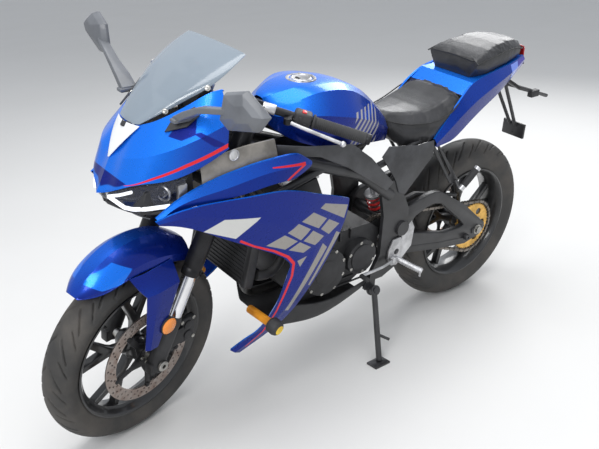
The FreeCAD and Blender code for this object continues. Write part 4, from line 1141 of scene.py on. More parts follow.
class MOTORCYCLE_OT_engine(bpy.types.Operator):
    """Engine castings with their covers, the radiator and its hoses"""
    bl_idname = "motorcycle.engine"
    bl_label = "Engine"

    def execute(self, context):
        body = cad_copy("engine", 2.5, 2)
        dress(body, "engine_castings", "engine", ["engine"])
        rings = [drum((770, 0, 400), 70, 150, 154, 64, 1.5), drum((770, 0, 400), 44, 152, 156, 48, 1.5),
            drum((610, 0, 400), 46, 138, 144, 48, 1.5), drum((700, 0, 395), 78, -162, -156, 64, 2.0)]
        ribs = [block((640 + 44 * n, 106, 470), (648 + 44 * n, 118, 502), 1.5) for n in range(3)]
        ribs += [block((560, 111, 300 + 22 * n), (700, 116, 306 + 22 * n), 1.5) for n in range(2)]
        dress(rings + ribs, "engine_covers", "engine")
        heads = joined([ring_bolts((770, 0, 400), 74, 151, 9), ring_bolts((610, 0, 400), 54, 139, 6, 0.4),
            ring_bolts((700, 0, 395), 86, -157.5, 10, 0.2)])
        dress(heads, "engine_bolts", "steel")
        head_cover = plate([(772, 706), (884, 686), (892, 700), (872, 716), (790, 724), (776, 716)], -98, 98,
            4.0, 3)
        dress(head_cover, "cylinder_head_cover", "alloy")
        self.radiator()
        return {"FINISHED"}

    def radiator(self):
        turn = Matrix.Rotation(radians(-12), 4, Y_AXIS)
        place = Matrix.Translation((1040, 0, 560)) @ turn
        core = block((-12, -126, -114), (12, 126, 114), 1.0)
        fins = joined([block((11, -124, -108 + 12 * n), (14, 124, -106.5 + 12 * n), 0) for n in range(19)])
        tanks = [block((-15.5, side * 138 - 12, -118), (15.5, side * 138 + 12, 118), 5.0, None, 3)
            for side in (1, -1)]
        for piece, name, nodes in ((joined([core, fins]), "radiator_core", ["radiator"]),
                (joined(tanks), "radiator_tanks", ())):
            piece.data.transform(place)
            dress(piece, name, "radiator", nodes)
        hose = pipe([(1026, 132, 470), (985, 134, 455), (935, 126, 480), (905, 110, 520), (890, 100, 560)],
            15, 4)
        dress(hose, "coolant_hose", "hose")


# Exhaust
class MOTORCYCLE_OT_exhaust(bpy.types.Operator):
    """Header pipes, silencer and its guard"""
    bl_idname = "motorcycle.exhaust"
    bl_label = "Exhaust"

    def execute(self, context):
        ends = [[(885, side, 600), (935, side, 582), (950, side, 548), (950, side * 0.8 - 8, 345),
            (936, -50, 292), (885, -60, 264), (780, -64, 262)] for side in (-50, -22)]
        front, rear = xyz(372, -160, 268), xyz(60, -186, 392)
        collector = [(800, -63, 263), (640, -67, 262), (480, -70, 262), (425, -112, 263), front]
        pipes = joined([pipe(points, 15, 4) for points in ends] + [pipe(collector, 18, 4)])
        dress(pipes, "header_pipes", "silencer", ["exhaust"])
        run = (rear - front).normalized()
        length = (rear - front).length
        shell = [(0, 16), (0, 20), (18, 24), (70, 44), (92, 49.5), (104, 50), (length - 14, 50),
            (length - 12, 51.5), (length - 2, 51.5), (length, 49), (length, 26), (length - 4, 24),
            (length - 4, 16)]
        can = lathe(shell, front, 64, run)
        dress(can, "silencer_can", "silencer")
        end = lathe([(length - 6, 15), (length - 6, 24), (length + 14, 22), (length + 25, 20),
            (length + 25, 18), (length, 17)], front, 48, run)
        strap = length * 0.62
        band = lathe([(strap, 50), (strap, 52.5), (strap + 16, 52.5), (strap + 16, 50)], front, 64, run)
        dress([end, band], "silencer_end", "alloy")
        middle = front + run * length * 0.55
        guard_turn = Matrix.Translation(middle) @ run.to_track_quat("X", "Z").to_matrix().to_4x4()
        guard = plate([(-90, -26), (78, -26), (92, 0), (84, 26), (-84, 26), (-98, 4)], -54, -49, 1.5)
        slots = joined([plate([(-62 + 30 * n, -12), (-54 + 30 * n, -12), (-42 + 30 * n, 12),
            (-50 + 30 * n, 12)], -60, -40, 0) for n in range(5)])
        cut(guard, slots)
        guard.data.transform(guard_turn)
        dress(guard, "silencer_guard", "plastic")
        hanger = rod((150, -178, 400), (172, -122, 540), 6, 16)
        dress(hanger, "silencer_hanger", "frame")
        return {"FINISHED"}


# Tank and seats
# x, half width and height at the ridge, at the shoulder, at the widest line and along the bottom edge
TANK = [
    (923, 26, 964, 50, 944, 74, 915, 72, 874),
    (880, 44, 977, 84, 950, 116, 925, 106, 848),
    (842, 53, 984, 97, 966, 134, 922, 119, 833),
    (800, 60, 986, 108, 978, 148, 920, 130, 820),
    (748, 59, 984, 109, 976, 151, 908, 130, 810),
    (690, 56, 976, 106, 967, 152, 895, 126, 800),
    (640, 53, 960, 98, 944, 138, 875, 115, 790),
    (590, 50, 936, 90, 912, 120, 855, 104, 780),
    (536, 47, 890, 78, 872, 101, 828, 90, 770),
    (488, 44, 843, 67, 827, 85, 801, 78, 761),
]


def tank_row(x, ridge_y, ridge_z, shoulder_y, shoulder_z, wide_y, wide_z, low_y, low_z):
    """Half of one section, from the middle of the top to the turned-in lower edge."""
    return [xyz(x, y, z) for y, z in [
        (0, ridge_z + 3), (ridge_y * 0.55, ridge_z + 2.5), (ridge_y, ridge_z), (shoulder_y, shoulder_z),
        ((shoulder_y + wide_y) / 2 + 1, (shoulder_z + wide_z) / 2), (wide_y, wide_z),
        ((wide_y + low_y) / 2 + 2, (wide_z + low_z) / 2), (low_y, low_z), (low_y - 16, low_z - 1)]]


class MOTORCYCLE_OT_tank(bpy.types.Operator):
    """Fuel tank with its filler cap"""
    bl_idname = "motorcycle.tank"
    bl_label = "Fuel tank"

    def execute(self, context):
        rows = [tank_row(*numbers) for numbers in TANK]
        front = [xyz(932, point.y * 0.6, 940 + (point.z - 940) * 0.7) for point in rows[0]]
        rear = [xyz(480, point.y * 0.8, point.z - 6) for point in rows[-1]]
        shell = skin([front] + rows + [rear], 2.0, 2, sharp_columns=(2, 3, 5, 7), mirror=True,
            inside=(700, 0, 880))
        dress(shell, "tank_shell", "tank", ["fuel_tank"], smooth=16)
        top = xyz(783, 0, 984)
        ring = lathe([(-10, 34), (-10, 46), (2, 46), (5, 44), (6, 40), (5, 36), (2, 34)], top, 64, Z_AXIS)
        cap = lathe([(-10, 0), (-10, 33), (1, 33), (4, 31), (5.5, 27), (4.5, 25), (5.5, 0)], top, 64, Z_AXIS)
        dress([ring, cap], "filler_ring", "alloy", ["filler_cap"])
        screws = bolts([top + xyz(40 * cos(a), 40 * sin(a), 5.5) for a in [2 * pi * n / 6 for n in range(6)]],
            Z_AXIS, 2.4, 1.6)
        dress(screws, "filler_screws", "steel")
        lock = block((790, -10, 988), (798, 8, 990.6), 1.0)
        dress(lock, "filler_lock", "plastic")
        return {"FINISHED"}


def seat_rows(table):
    """Closed sections of a seat, from x, half width and height at the top, at the rim and at the base."""
    rows = []
    for x, top_y, top_z, wide_y, wide_z, low_y, low_z in table:
        half = [(0, top_z + 4), (top_y * 0.6, top_z + 3), (top_y, top_z), (wide_y, wide_z), (low_y, low_z)]
        rows.append([xyz(x, y, z) for y, z in half + [(-y, z) for y, z in reversed(half[1:])]])
    return rows


RIDER_SEAT = [(476, 36, 838, 50, 824, 50, 780), (462, 48, 836, 70, 814, 68, 764),
    (430, 64, 830, 92, 802, 92, 727), (385, 82, 828, 113, 800, 110, 722), (340, 94, 830, 127, 801, 121, 726),
    (300, 100, 838, 134, 808, 126, 742), (262, 100, 849, 136, 820, 130, 778),
    (232, 98, 862, 132, 837, 126, 790), (194, 86, 878, 122, 856, 116, 820)]
PILLION_SEAT = [(131, 98, 966, 112, 955, 80, 900), (98, 98, 979, 114, 963, 98, 906),
    (60, 92, 990, 114, 971, 108, 914), (0, 84, 1001, 107, 979, 103, 924), (-60, 75, 1005, 97, 981, 94, 931),
    (-110, 64, 1001, 84, 976, 80, 935), (-158, 50, 988, 67, 966, 64, 939)]


def pad(name, node, table, finish, swell):
    """Padded piece: a loft remeshed, inflated as cloth with its movement capped, and smoothed."""
    piece = loft(seat_rows(table))
    piece.data.transform(Matrix.Scale(MM, 4))
    modify(piece, "REMESH", mode="VOXEL", voxel_size=0.005)
    start = [vertex.co.copy() for vertex in piece.data.vertices]
    shrunk = 0.0025
    for vertex in piece.data.vertices:
        vertex.co -= vertex.normal * shrunk
    cloth = piece.modifiers.new("Cloth", "CLOTH")
    cloth.settings.use_pressure = True
    cloth.settings.uniform_pressure_force = 4
    cloth.settings.effector_weights.gravity = 0
    cloth.settings.quality = 5
    cloth.point_cache.frame_start = 1
    cloth.point_cache.frame_end = 20
    for number in range(1, 21):
        bpy.context.scene.frame_set(number)
    view = bpy.context.evaluated_depsgraph_get()
    swollen = piece.evaluated_get(view).to_mesh()
    moved = [vertex.co.copy() for vertex in swollen.vertices]
    piece.evaluated_get(view).to_mesh_clear()
    piece.modifiers.remove(cloth)
    bpy.context.scene.frame_set(1)
    for vertex, place in zip(piece.data.vertices, moved):
        step = place - vertex.co
        vertex.co += step if step.length < swell else step.normalized() * swell
    modify(piece, "LAPLACIANSMOOTH", iterations=3, lambda_factor=0.6)
    modify(piece, "SUBSURF", levels=1, render_levels=1)
    piece.data.transform(Matrix.Scale(1 / MM, 4))
    dress(piece, name, finish, [node], smooth=60)
    return piece


RIDER_PIPING = [(470, 52, 812), (430, 92, 803), (385, 114, 803), (340, 129, 803), (300, 134, 811),
    (262, 137, 824), (236, 132, 840), (194, 123, 859)]
PILLION_PIPING = [(131, 111, 957), (98, 113, 965), (60, 113, 973), (0, 106, 981), (-60, 96, 983),
    (-110, 85, 978), (-157, 67, 967)]


class MOTORCYCLE_OT_seats(bpy.types.Operator):
    """Rider's and pillion's seats with their piping"""
    bl_idname = "motorcycle.seats"
    bl_label = "Seats"

    def execute(self, context):
        pad("rider_cushion", "rider_seat", RIDER_SEAT, "vinyl", 0.004)
        pad("pillion_cushion", "pillion_seat", PILLION_SEAT, "vinyl", 0.004)
        lines = []
        for points in (RIDER_PIPING, PILLION_PIPING):
            lines.append(pipe(points, 2.2, 2))
            lines.append(pipe([(x, -y, z) for x, y, z in points], 2.2, 2))
        lines.append(pipe([(131, y, 970 - abs(y) * 0.05) for y in (-92, -45, 0, 45, 92)], 2.2, 2))
        dress(lines, "seat_piping", "thread")
        return {"FINISHED"}


# Bodywork at the rear
TAIL_SIDE = [
    ((318, 130, 744), (312, 136, 729), (306, 131, 714)),
    ((270, 130, 800), (266, 141, 764), (264, 131, 718)),
    ((222, 130, 852), (220, 142, 800), (222, 130, 722)),
    ((186, 124, 880), (174, 141, 828), (166, 128, 760)),
    ((150, 118, 904), (130, 138, 850), (112, 124, 790)),
    ((94, 116, 915), (74, 133, 868), (56, 118, 815)),
    ((40, 114, 924), (20, 127, 885), (0, 112, 838)),
    ((-20, 105, 929), (-32, 117, 897), (-46, 101, 856)),
    ((-80, 95, 934), (-85, 105, 908), (-92, 90, 874)),
    ((-126, 80, 937), (-132, 87, 917), (-138, 75, 888)),
    ((-172, 65, 940), (-180, 69, 925), (-184, 60, 902)),
]


# x, half width and height of the deck that joins the sides in front of the pillion's seat and under it
TAIL_DECK = [(196, 118, 868), (150, 117, 902), (128, 117, 906), (40, 114, 919), (-80, 94, 931),
    (-172, 64, 936)]


class MOTORCYCLE_OT_tail(bpy.types.Operator):
    """Tail cowl, tail lamp, mudguard and number plate bracket"""
    bl_idname = "motorcycle.tail"
    bl_label = "Tail"

    def execute(self, context):
        side = skin(returned(TAIL_SIDE, (0, -7, -1), (0, -8, 3)), 2.4, 2, sharp_columns=(1, 3, 5),
            inside=(60, 0, 860))
        rows = [[xyz(x, y * w, z) for y in (-1, -0.6, 0, 0.6, 1)] for x, w, z in TAIL_DECK]
        deck = skin(rows, 4.0, 2, sharp_rows=(0, 1, 2, 5), inside=(60, 0, 700))
        dress([both(side), deck], "tail_panels", "tail", ["tail_cowl"], smooth=16)
        self.lamp()
        self.mudguard()
        return {"FINISHED"}

    def lamp(self):
        rows = [[xyz(x, y, z) for y in (-52, -26, 0, 26, 52)]
            for x, z in ((-180, 972), (-198, 966), (-204, 938), (-205, 918), (-192, 905))]
        for row in rows:
            for point in row:
                point.x += 9 * (point.y / 52) ** 2
        lens = skin(rows, 3.0, 2, sharp_rows=(1, 3), inside=(-100, 0, 940))
        dress(lens, "tail_lamp_lens", "lamp_red", ["tail_lamp"])
        ribs = joined([block((-200, -44 + 11 * n, 922), (-198.5, -41 + 11 * n, 958), 0) for n in range(9)])
        dress(ribs, "tail_lamp_ribs", "lamp_red")
        end = plate([(-172, 938), (-184, 904), (-190, 904), (-178, 938)], -62, 62, 1.0)
        dress(end, "tail_end_plate", "plastic")

    def mudguard(self):
        rows = [[xyz(x, y * 48, z - 6 * y * y) for y in (-1, -0.5, 0, 0.5, 1)]
            for x, z in ((58, 798), (-40, 828), (-140, 858), (-190, 832), (-234, 804))]
        guard = skin(rows, 3.5, 2, sharp_rows=(2,), inside=(-80, 0, 700))
        dress(guard, "rear_mudguard", "plastic", ["plate_bracket"])
        arms = []
        for side in (1, -1):
            arms.append(plate([(-118, 866), (-118, 854), (-228, 793), (-414, 734), (-419, 740), (-415, 746),
                (-231, 807)], side * 30 - 5, side * 30 + 5, 1.5))
            arms.append(rod((-150, side * 24, 830), (-272, side * 12, 640), 6.5, 16))
        bar = block((-419, -34, 734), (-405, 34, 744), 2.0)
        mount = block((-290, -50, 592), (-279, 50, 650), 3.0)
        hole = rod((-300, 0, 610), (-270, 0, 610), 3.2, 24)
        cut(mount, hole)
        dress(arms + [bar, mount], "plate_arms", "frame")
        bracket_box = block((-345, 22, 752), (-300, 44, 778), 2.5)
        dress(bracket_box, "plate_lamp_box", "plastic")
        screws = bolts([(-290, 30, 636), (-290, -30, 636)], -X_AXIS, 4.5)
        dress(screws, "plate_screws", "steel")


# Nose, screen and lamps
NOSE_SIDE = [
    ((1339, 0, 960), (1391, 0, 878), (1434, 0, 788)),
    ((1333, 20, 960), (1381, 30, 884), (1419, 30, 797)),
    ((1332, 40, 962), (1385, 62, 892), (1413, 60, 812)),
    ((1318, 62, 970), (1370, 88, 898), (1398, 86, 825)),
    ((1300, 82, 980), (1352, 114, 905), (1381, 111, 838)),
    ((1272, 98, 995), (1322, 138, 917), (1345, 140, 845)),
    ((1240, 112, 1012), (1290, 159, 930), (1305, 164, 851)),
    ((1208, 130, 1034), (1246, 177, 948), (1257, 180, 868)),
    ((1180, 145, 1053), (1206, 190, 965), (1210, 190, 889)),
    ((1154, 157, 1058), (1160, 198, 984), (1162, 194, 913)),
]


class MOTORCYCLE_OT_nose(bpy.types.Operator):
    """Nose cowl with its vent, and the instruments behind it"""
    bl_idname = "motorcycle.nose"
    bl_label = "Nose"

    def execute(self, context):
        rows = [rib(*points, (-6, -2 if points[0][1] else 0, -4), (-6, -3 if points[2][1] else 0, 2))
            for points in NOSE_SIDE]
        panel = skin(rows, sharp_rows=(0,), sharp_columns=(1, 3, 5), mirror=True, inside=NOSE_MIDDLE)
        dress(panel, "nose_panel", "nose", ["nose_cowl"], smooth=14)
        foot = leaf([(1295, 117, 961), (1268, 112, 989), (1220, 137, 1018), (1217, 154, 1000),
            (1251, 150, 976)], 5.0)
        dress(both(foot), "mirror_feet", "plastic")
        self.patch()
        self.instruments()
        return {"FINISHED"}

    def patch(self):
        """Pale triangular inlet below the screen, with its black slot."""
        rows = []
        for x, z, w, back in ((1341, 962, 56, 14), (1354, 940, 44, 5), (1372, 911, 25, 2), (1391, 877, 3, 1)):
            rows.append([xyz(x + 4.2 - y * y * back, w * y, z + 2.5) for y in (-1, -0.5, 0, 0.5, 1)])
        patch = skin(rows, 2.0, 1, inside=NOSE_MIDDLE)
        dress(patch, "nose_inlet_trim", "white")
        below = [first.lerp(second, 0.55) for first, second in zip(*rows[:2])]
        slot = skin([[point + xyz(2.2, 0, 1.2) - xyz(0, point.y * 0.62, 0) for point in row]
            for row in (rows[0], below)], 1.6, 1, inside=NOSE_MIDDLE)
        dress(slot, "nose_inlet_slot", "plastic")

    def instruments(self):
        """Instrument pod behind the screen on its stay."""
        repaint("instruments", "plastic")
        pod = plate([(1218, 1006), (1208, 1014), (1164, 1052), (1154, 1048), (1148, 1032), (1198, 986),
            (1212, 990)], -66, 66, 5.0, 3)
        dress(pod, "instrument_pod", "plastic")
        turn = Matrix.Translation((1172, 0, 1018)) @ Matrix.Rotation(radians(-42), 4, Y_AXIS)
        dials = []
        for y, radius in ((-34, 22), (6, 27), (42, 12)):
            dials.append(lathe([(-14, 0), (-14, radius - 3), (-17, radius - 2), (-17, radius),
                (-12, radius + 1), (-12, 0)], xyz(0, y, 0), 40, Z_AXIS))
        faces = joined(dials)
        faces.data.transform(turn)
        dress(faces, "instrument_dials", "white")


# x, height of the middle, x, half width and height of the edge
SCREEN = [
    (1338, 964, 1324, 54, 970),
    (1304, 1002, 1282, 82, 996),
    (1268, 1036, 1240, 104, 1022),
    (1224, 1066, 1204, 125, 1045),
    (1180, 1092, 1168, 141, 1066),
    (1126, 1117, 1120, 147, 1100),
    (1074, 1134, 1073, 138, 1128),
]


class MOTORCYCLE_OT_screen(bpy.types.Operator):
    """Smoke windscreen with its screws"""
    bl_idname = "motorcycle.screen"
    bl_label = "Windscreen"

    def execute(self, context):
        rows = []
        for mid_x, mid_z, edge_x, edge_y, edge_z in SCREEN:
            row = []
            for share in (0, 0.35, 0.68, 0.88, 1.0):
                bow = 1 - share ** 2
                row.append(xyz(edge_x + (mid_x - edge_x) * bow, edge_y * sin(share * pi / 2) ** 0.9,
                    edge_z + (mid_z - edge_z) * bow))
            rows.append(row)
        sheet = skin(rows, 2.6, 2, mirror=True, inside=(1050, 0, 900), edge=0.6)
        dress(sheet, "screen_sheet", "screen", ["windscreen"], smooth=60)
        screws = []
        for x, y, z in ((1276, 88, 1003), (1184, 137, 1060)):
            for side in (1, -1):
                screws.append(bolt((x, side * y, z), (0.35, side * 0.75, 0.6), 5.5, 3.0))
        dress(screws, "screen_screws", "steel")
        return {"FINISHED"}


# Lens of the left lamp: from the middle of the nose outwards, each row from its top to its lower edge
LENS = [
    ((1426, 5, 787), (1422, 5, 777), (1406, 8, 762)),
    ((1409, 54, 807), (1406, 57, 788), (1388, 66, 758)),
    ((1376, 104, 832), (1373, 109, 800), (1350, 112, 756)),
    ((1312, 150, 846), (1313, 155, 806), (1302, 150, 766)),
    ((1264, 161, 850), (1264, 163, 820), (1258, 158, 790)),
]


def along_lens(row, share, back):
    """Place at a share of the way down a lens row, set back behind the lens."""
    top, middle, low = (Vector(point) for point in LENS[row])
    place = top.lerp(middle, share * 2) if share < 0.5 else middle.lerp(low, share * 2 - 1)
    return place + xyz(-back, -back * 0.55 * min(1.0, place.y / 60), 0)


class MOTORCYCLE_OT_lights(bpy.types.Operator):
    """Twin headlight behind a tinted lens"""
    bl_idname = "motorcycle.lights"
    bl_label = "Headlight"

    def execute(self, context):
        rows = []
        for top, middle, low in LENS:
            top, middle, low = Vector(top), Vector(middle), Vector(low)
            rows.append([top, (top + middle) / 2 + X_AXIS, middle, (middle + low) / 2 + X_AXIS, low])
        lens = skin(rows, 2.2, 2, inside=(1200, 0, 780), edge=0.5)
        dress(both(lens), "headlight_lens", "lens", smooth=60)
        shell_rows = [[along_lens(n, s, 26 if n else 22) for s in (0, 0.3, 0.6, 1.0)]
            for n in range(len(LENS))]
        shell = skin(shell_rows, 3.0, 1, inside=(1100, 0, 780))
        lip = pipe([Vector(low) + xyz(1, 0.5, -3) for top, middle, low in LENS], 5.5, 3)
        lip_inner = pipe([(1405, 6, 758), (1404, 0, 757), (1405, -6, 758)], 5.5, 3)
        brow = pipe([Vector(top) + xyz(-5, -3, 1) for top, middle, low in LENS], 3.5, 2)
        housing = joined([both(shell), both(lip), both(brow), lip_inner])
        back = plate([(1376, 776), (1376, 756), (1262, 770), (1246, 800), (1246, 840), (1300, 836),
            (1360, 815)], -126, 126, 3.0)
        dress([housing, back], "headlight_housing", "plastic", ["headlight"])
        self.lamps()
        rows = [[xyz(x - bow * abs(y), y * w, z) for y in (-1, -0.4, 0, 0.4, 1)]
            for x, bow, w, z in ((1392, 6, 40, 752), (1368, 0, 84, 738), (1338, 0, 100, 727))]
        chin = skin(rows, 3.0, 2, inside=(1300, 0, 800))
        dress(chin, "nose_chin", "mirror_shell")
        return {"FINISHED"}

    def lamps(self):
        """Bulb reflector, running light chevron and bezels of both lamps."""
        centre = xyz(1314, 138, 812)
        aim = xyz(1, 0.42, -0.06).normalized()
        bowl = lathe([(-16, 4), (-12, 10), (-4, 15), (4, 17), (4, 19), (-6, 17), (-15, 11), (-18, 4)], centre,
            48, aim)
        bulb = lathe([(-14, 0), (-14, 5), (-2, 5), (2, 3), (3, 0)], centre, 24, aim)
        bezel = lathe([(2, 17), (2, 22), (6, 22), (8, 20), (6, 17)], centre, 64, aim)
        post = block((1264, 152, 789), (1290, 167, 836), 3.0)
        dress(both(joined([bowl, bulb])), "lamp_reflectors", "reflector")
        dress(both(joined([bezel, post])), "lamp_bezels", "alloy")
        upper = pipe([(1418, 37, 789), (1402, 69, 801), (1385, 101, 817)], 4.4, 3, 2)
        lower = pipe([(1418, 37, 789), (1398, 84, 771), (1387, 108, 773), (1363, 132, 777), (1312, 161, 784)],
            5.6, 3, 2)
        dress(both(joined([upper, lower])), "running_lights", "strip")


# Fairings
# Ribs of the left side fairing from its front edge back and down: outer edge, middle and inner edge
SIDE_FAIRING = [
    ((1366, 186, 764), (1362, 190, 758), (1357, 188, 752)),
    ((1318, 202, 784), (1314, 203, 764), (1320, 197, 746)),
    ((1250, 218, 792), (1248, 216, 760), (1262, 205, 722)),
    ((1184, 227, 790), (1188, 224, 740), (1208, 211, 688)),
    ((1118, 234, 786), (1128, 230, 720), (1152, 216, 656)),
    ((1058, 236, 783), (1062, 233, 695), (1074, 218, 611)),
    ((1000, 236, 776), (998, 234, 670), (1000, 220, 568)),
    ((938, 234, 756), (960, 233, 644), (983, 219, 548)),
    ((880, 230, 730), (925, 230, 620), (965, 218, 530)),
    ((812, 222, 706), (894, 227, 597), (970, 217, 510)),
    ((755, 214, 680), (870, 222, 575), (978, 216, 490)),
    ((757, 213, 632), (878, 219, 534), (988, 212, 450)),
    ((775, 212, 585), (895, 216, 495), (1000, 208, 410)),
    ((808, 207, 512), (920, 211, 440), (1020, 204, 377)),
    ((850, 200, 440), (950, 204, 385), (1040, 200, 345)),
    ((902, 193, 374), (994, 197, 342), (1072, 194, 317)),
    ((960, 184, 310), (1035, 192, 312), (1095, 190, 312)),
    ((1112, 177, 258), (1132, 183, 270), (1147, 181, 283)),
]
WING = [
    ((1360, 176, 767), (1356, 182, 762), (1351, 182, 758)),
    ((1312, 178, 798), (1308, 187, 793), (1304, 188, 780)),
    ((1250, 184, 824), (1246, 198, 806), (1242, 202, 787)),
    ((1206, 188, 836), (1202, 206, 812), (1196, 210, 788)),
    ((1163, 192, 846), (1158, 212, 818), (1150, 217, 789)),
    ((1112, 195, 853), (1105, 214, 825), (1096, 220, 793)),
    ((1060, 196, 858), (1052, 214, 830), (1040, 221, 798)),
    ((1000, 196, 858), (1000, 212, 827), (998, 217, 794)),
    ((938, 194, 856), (946, 208, 822), (957, 210, 789)),
    ((912, 192, 838), (918, 203, 817), (924, 204, 797)),
    ((884, 190, 818), (888, 196, 812), (892, 196, 806)),
]
INNER = [
    ((1232, 172, 884), (1229, 177, 850), (1226, 175, 815)),
    ((1176, 178, 896), (1173, 184, 860), (1170, 182, 824)),
    ((1120, 182, 905), (1116, 187, 870), (1112, 185, 835)),
    ((1060, 178, 904), (1057, 184, 871), (1054, 184, 840)),
    ((1000, 170, 900), (998, 179, 872), (996, 183, 846)),
]


class MOTORCYCLE_OT_fairings(bpy.types.Operator):
    """Side fairings, upper wing panels and dark inner panels"""
    bl_idname = "motorcycle.fairings"
    bl_label = "Side fairings"

    def execute(self, context):
        rows = returned(SIDE_FAIRING, (0, -7, 0), (-5, -6, 1))
        left = skin(rows, sharp_columns=(1, 3, 5), sharp_rows=(10,), inside=(1000, 0, 560))
        right = copied(left, OTHER_SIDE)
        dress(left, "fairing_left", "fairing", ["side_fairing_left"], smooth=16)
        dress(right, "fairing_right", "fairing", ["side_fairing_right"], smooth=16)
        wing = skin(returned(WING, (0, -6, 1), (0, -5, -1)), sharp_columns=(1, 3, 5), inside=(1100, 0, 700))
        right = copied(wing, OTHER_SIDE)
        dress(wing, "wing_panel_left", "wing", ["wing_left"], smooth=16)
        dress(right, "wing_panel_right", "wing", ["wing_right"], smooth=16)
        inner = skin(returned(INNER, (0, -6, 0), (0, -6, 0)), 2.6, 2, sharp_columns=(1, 5),
            inside=(1100, 0, 800))
        dress(both(inner), "inner_cowls", "inner", ["inner_panels"])
        cap = lathe([(0, 0), (0, 15), (4, 15), (5, 12), (3, 11), (3, 0)], xyz(1140, 186, 892), 32, Y_AXIS)
        dress(both(cap), "inner_cowl_rings", "alloy")
        self.covers()
        self.belly()
        return {"FINISHED"}

    def covers(self):
        """Covers over the frame spars, the panels under the seat and the air box between the spars."""
        cover = plate([(985, 876), (875, 848), (706, 819), (624, 757), (522, 653), (550, 629), (719, 748),
            (829, 806), (980, 842)], 154, 162, 3.0, 3)
        dress(both(cover), "spar_covers", "cover", ["side_covers"])
        under = plate([(556, 735), (528, 765), (400, 742), (326, 744), (322, 690), (436, 580), (466, 592),
            (486, 640)], 132, 136.5, 1.5)
        dress(both(under), "seat_side_panels", "cover")
        dress(block((610, -82, 718), (872, 82, 782), 8.0, None, 3), "air_box", "plastic")

    def belly(self):
        rows = []
        for x, top_y, top_z, low_y, low_z in ((928, 120, 318, 97, 228), (845, 137, 304, 106, 214),
                (760, 149, 287, 110, 202), (660, 138, 288, 104, 214), (562, 121, 289, 93, 233)):
            rows.append([xyz(x, y, z) for y, z in [(top_y - 4, top_z), (top_y, top_z - 2),
                ((top_y + low_y) / 2 + 3, (top_z + low_z) / 2), (low_y, low_z + 5), (low_y - 8, low_z),
                (low_y * 0.5, low_z), (0, low_z - 0.5)]])
        pan = skin(rows, 2.8, 2, sharp_columns=(1, 3, 4), mirror=True, inside=(745, 0, 400))
        dress(pan, "belly_shell", "plastic", ["belly_pan"])


# Outline of a mirror head, as (outwards, up) from its middle
MIRROR = [(-75, 24), (-6, 44), (66, 2), (34, -40), (-58, -62), (-90, -44)]


class MOTORCYCLE_OT_mirrors(bpy.types.Operator):
    """Mirrors on their arms, and the crash bobbins"""
    bl_idname = "motorcycle.mirrors"
    bl_label = "Mirrors"

    def execute(self, context):
        for side, lift, name in ((1, 0, "left"), (-1, 26, "right")):
            self.mirror(side, lift, name)
        self.bobbins()
        return {"FINISHED"}

    def mirror(self, side, lift, name):
        """Angular mirror head on its flat arm."""
        foot = block((1236, side * 140 - 12, 990), (1288, side * 140 + 12, 1001), 4.0, None, 3)
        spans = ((1260, 134, 994, 22, 9), (1257, 172, 1018, 20, 8), (1254, 225, 1044, 15, 7),
            (1240, 338, 1070 + lift, 11, 6))
        arm = softened(loft([[xyz(x + a * w, side * (y - b * h * 0.5), z + b * h)
            for a, b in ((-1, -1), (1, -1), (1, 1), (-1, 1))] for x, y, z, w, h in spans]), 3.0, 3, 20)
        place = (Matrix.Translation((1222, side * 374, 1080 + lift))
            @ Matrix.Rotation(radians(side * 8), 4, Z_AXIS) @ Matrix.Scale(side, 4, Y_AXIS))
        rows = [[xyz(x, (y - 6) * s + 6 + shift, (z - 4) * s + 4) for y, z in MIRROR]
            for x, s, shift in ((-1, 0.93, 0), (-3, 0.99, 0), (5, 1.0, 0), (20, 0.90, 0), (33, 0.42, 10))]
        head = softened(loft(rows), 2.5, 3, 15)
        glass = plate([(y * 0.9 + 0.6, z * 0.9 + 0.4) for y, z in MIRROR], 0, 2.6, 0.8)
        glass.data.transform(Matrix.Translation((-4.2, 0, 0)) @ Matrix.Rotation(radians(-90), 4, Z_AXIS)
            @ Matrix.Scale(-1, 4, X_AXIS))
        outwards(arm)
        for piece in (head, glass):
            piece.data.transform(place)
            outwards(piece)
        nodes = ["mirrors"] if side > 0 else ()
        dress([foot, arm, head], "mirror_shell_" + name, "mirror_shell", nodes, smooth=18)
        dress(glass, "mirror_glass_" + name, "glass")

    def bobbins(self):
        base, tip = xyz(1041, 232, 364), xyz(1036, 262, 358)
        run = (tip - base).normalized()
        tube = rod((1046, 132, 362), base, 13, 40, 1.0)
        cup = lathe([(-2, 8), (-2, 20), (3, 24), (22, 24), (30, 21), (35, 16), (35, 8)], base, 48, run)
        insert = lathe([(33, 0), (33, 15.5), (36, 14), (37, 10), (37, 0)], base, 40, run)
        dress(both(tube), "bobbin_tubes", "slider", ["sliders"])
        dress(both(cup), "bobbin_cups", "plastic")
        dress(both(insert), "bobbin_inserts", "slider_cap")


# Fender
# angle ahead of the vertical in degrees, radius of the crest, half width and radius of the lower edge
FENDER = [
    (36, 344, 22, 336),
    (33, 352, 42, 329),
    (26, 366, 66, 318),
    (18, 376, 71, 315),
    (10, 382, 74, 312),
    (1, 381, 75, 309),
    (-8, 376, 76, 306),
    (-17, 366, 75, 305),
    (-26, 352, 74, 304),
]


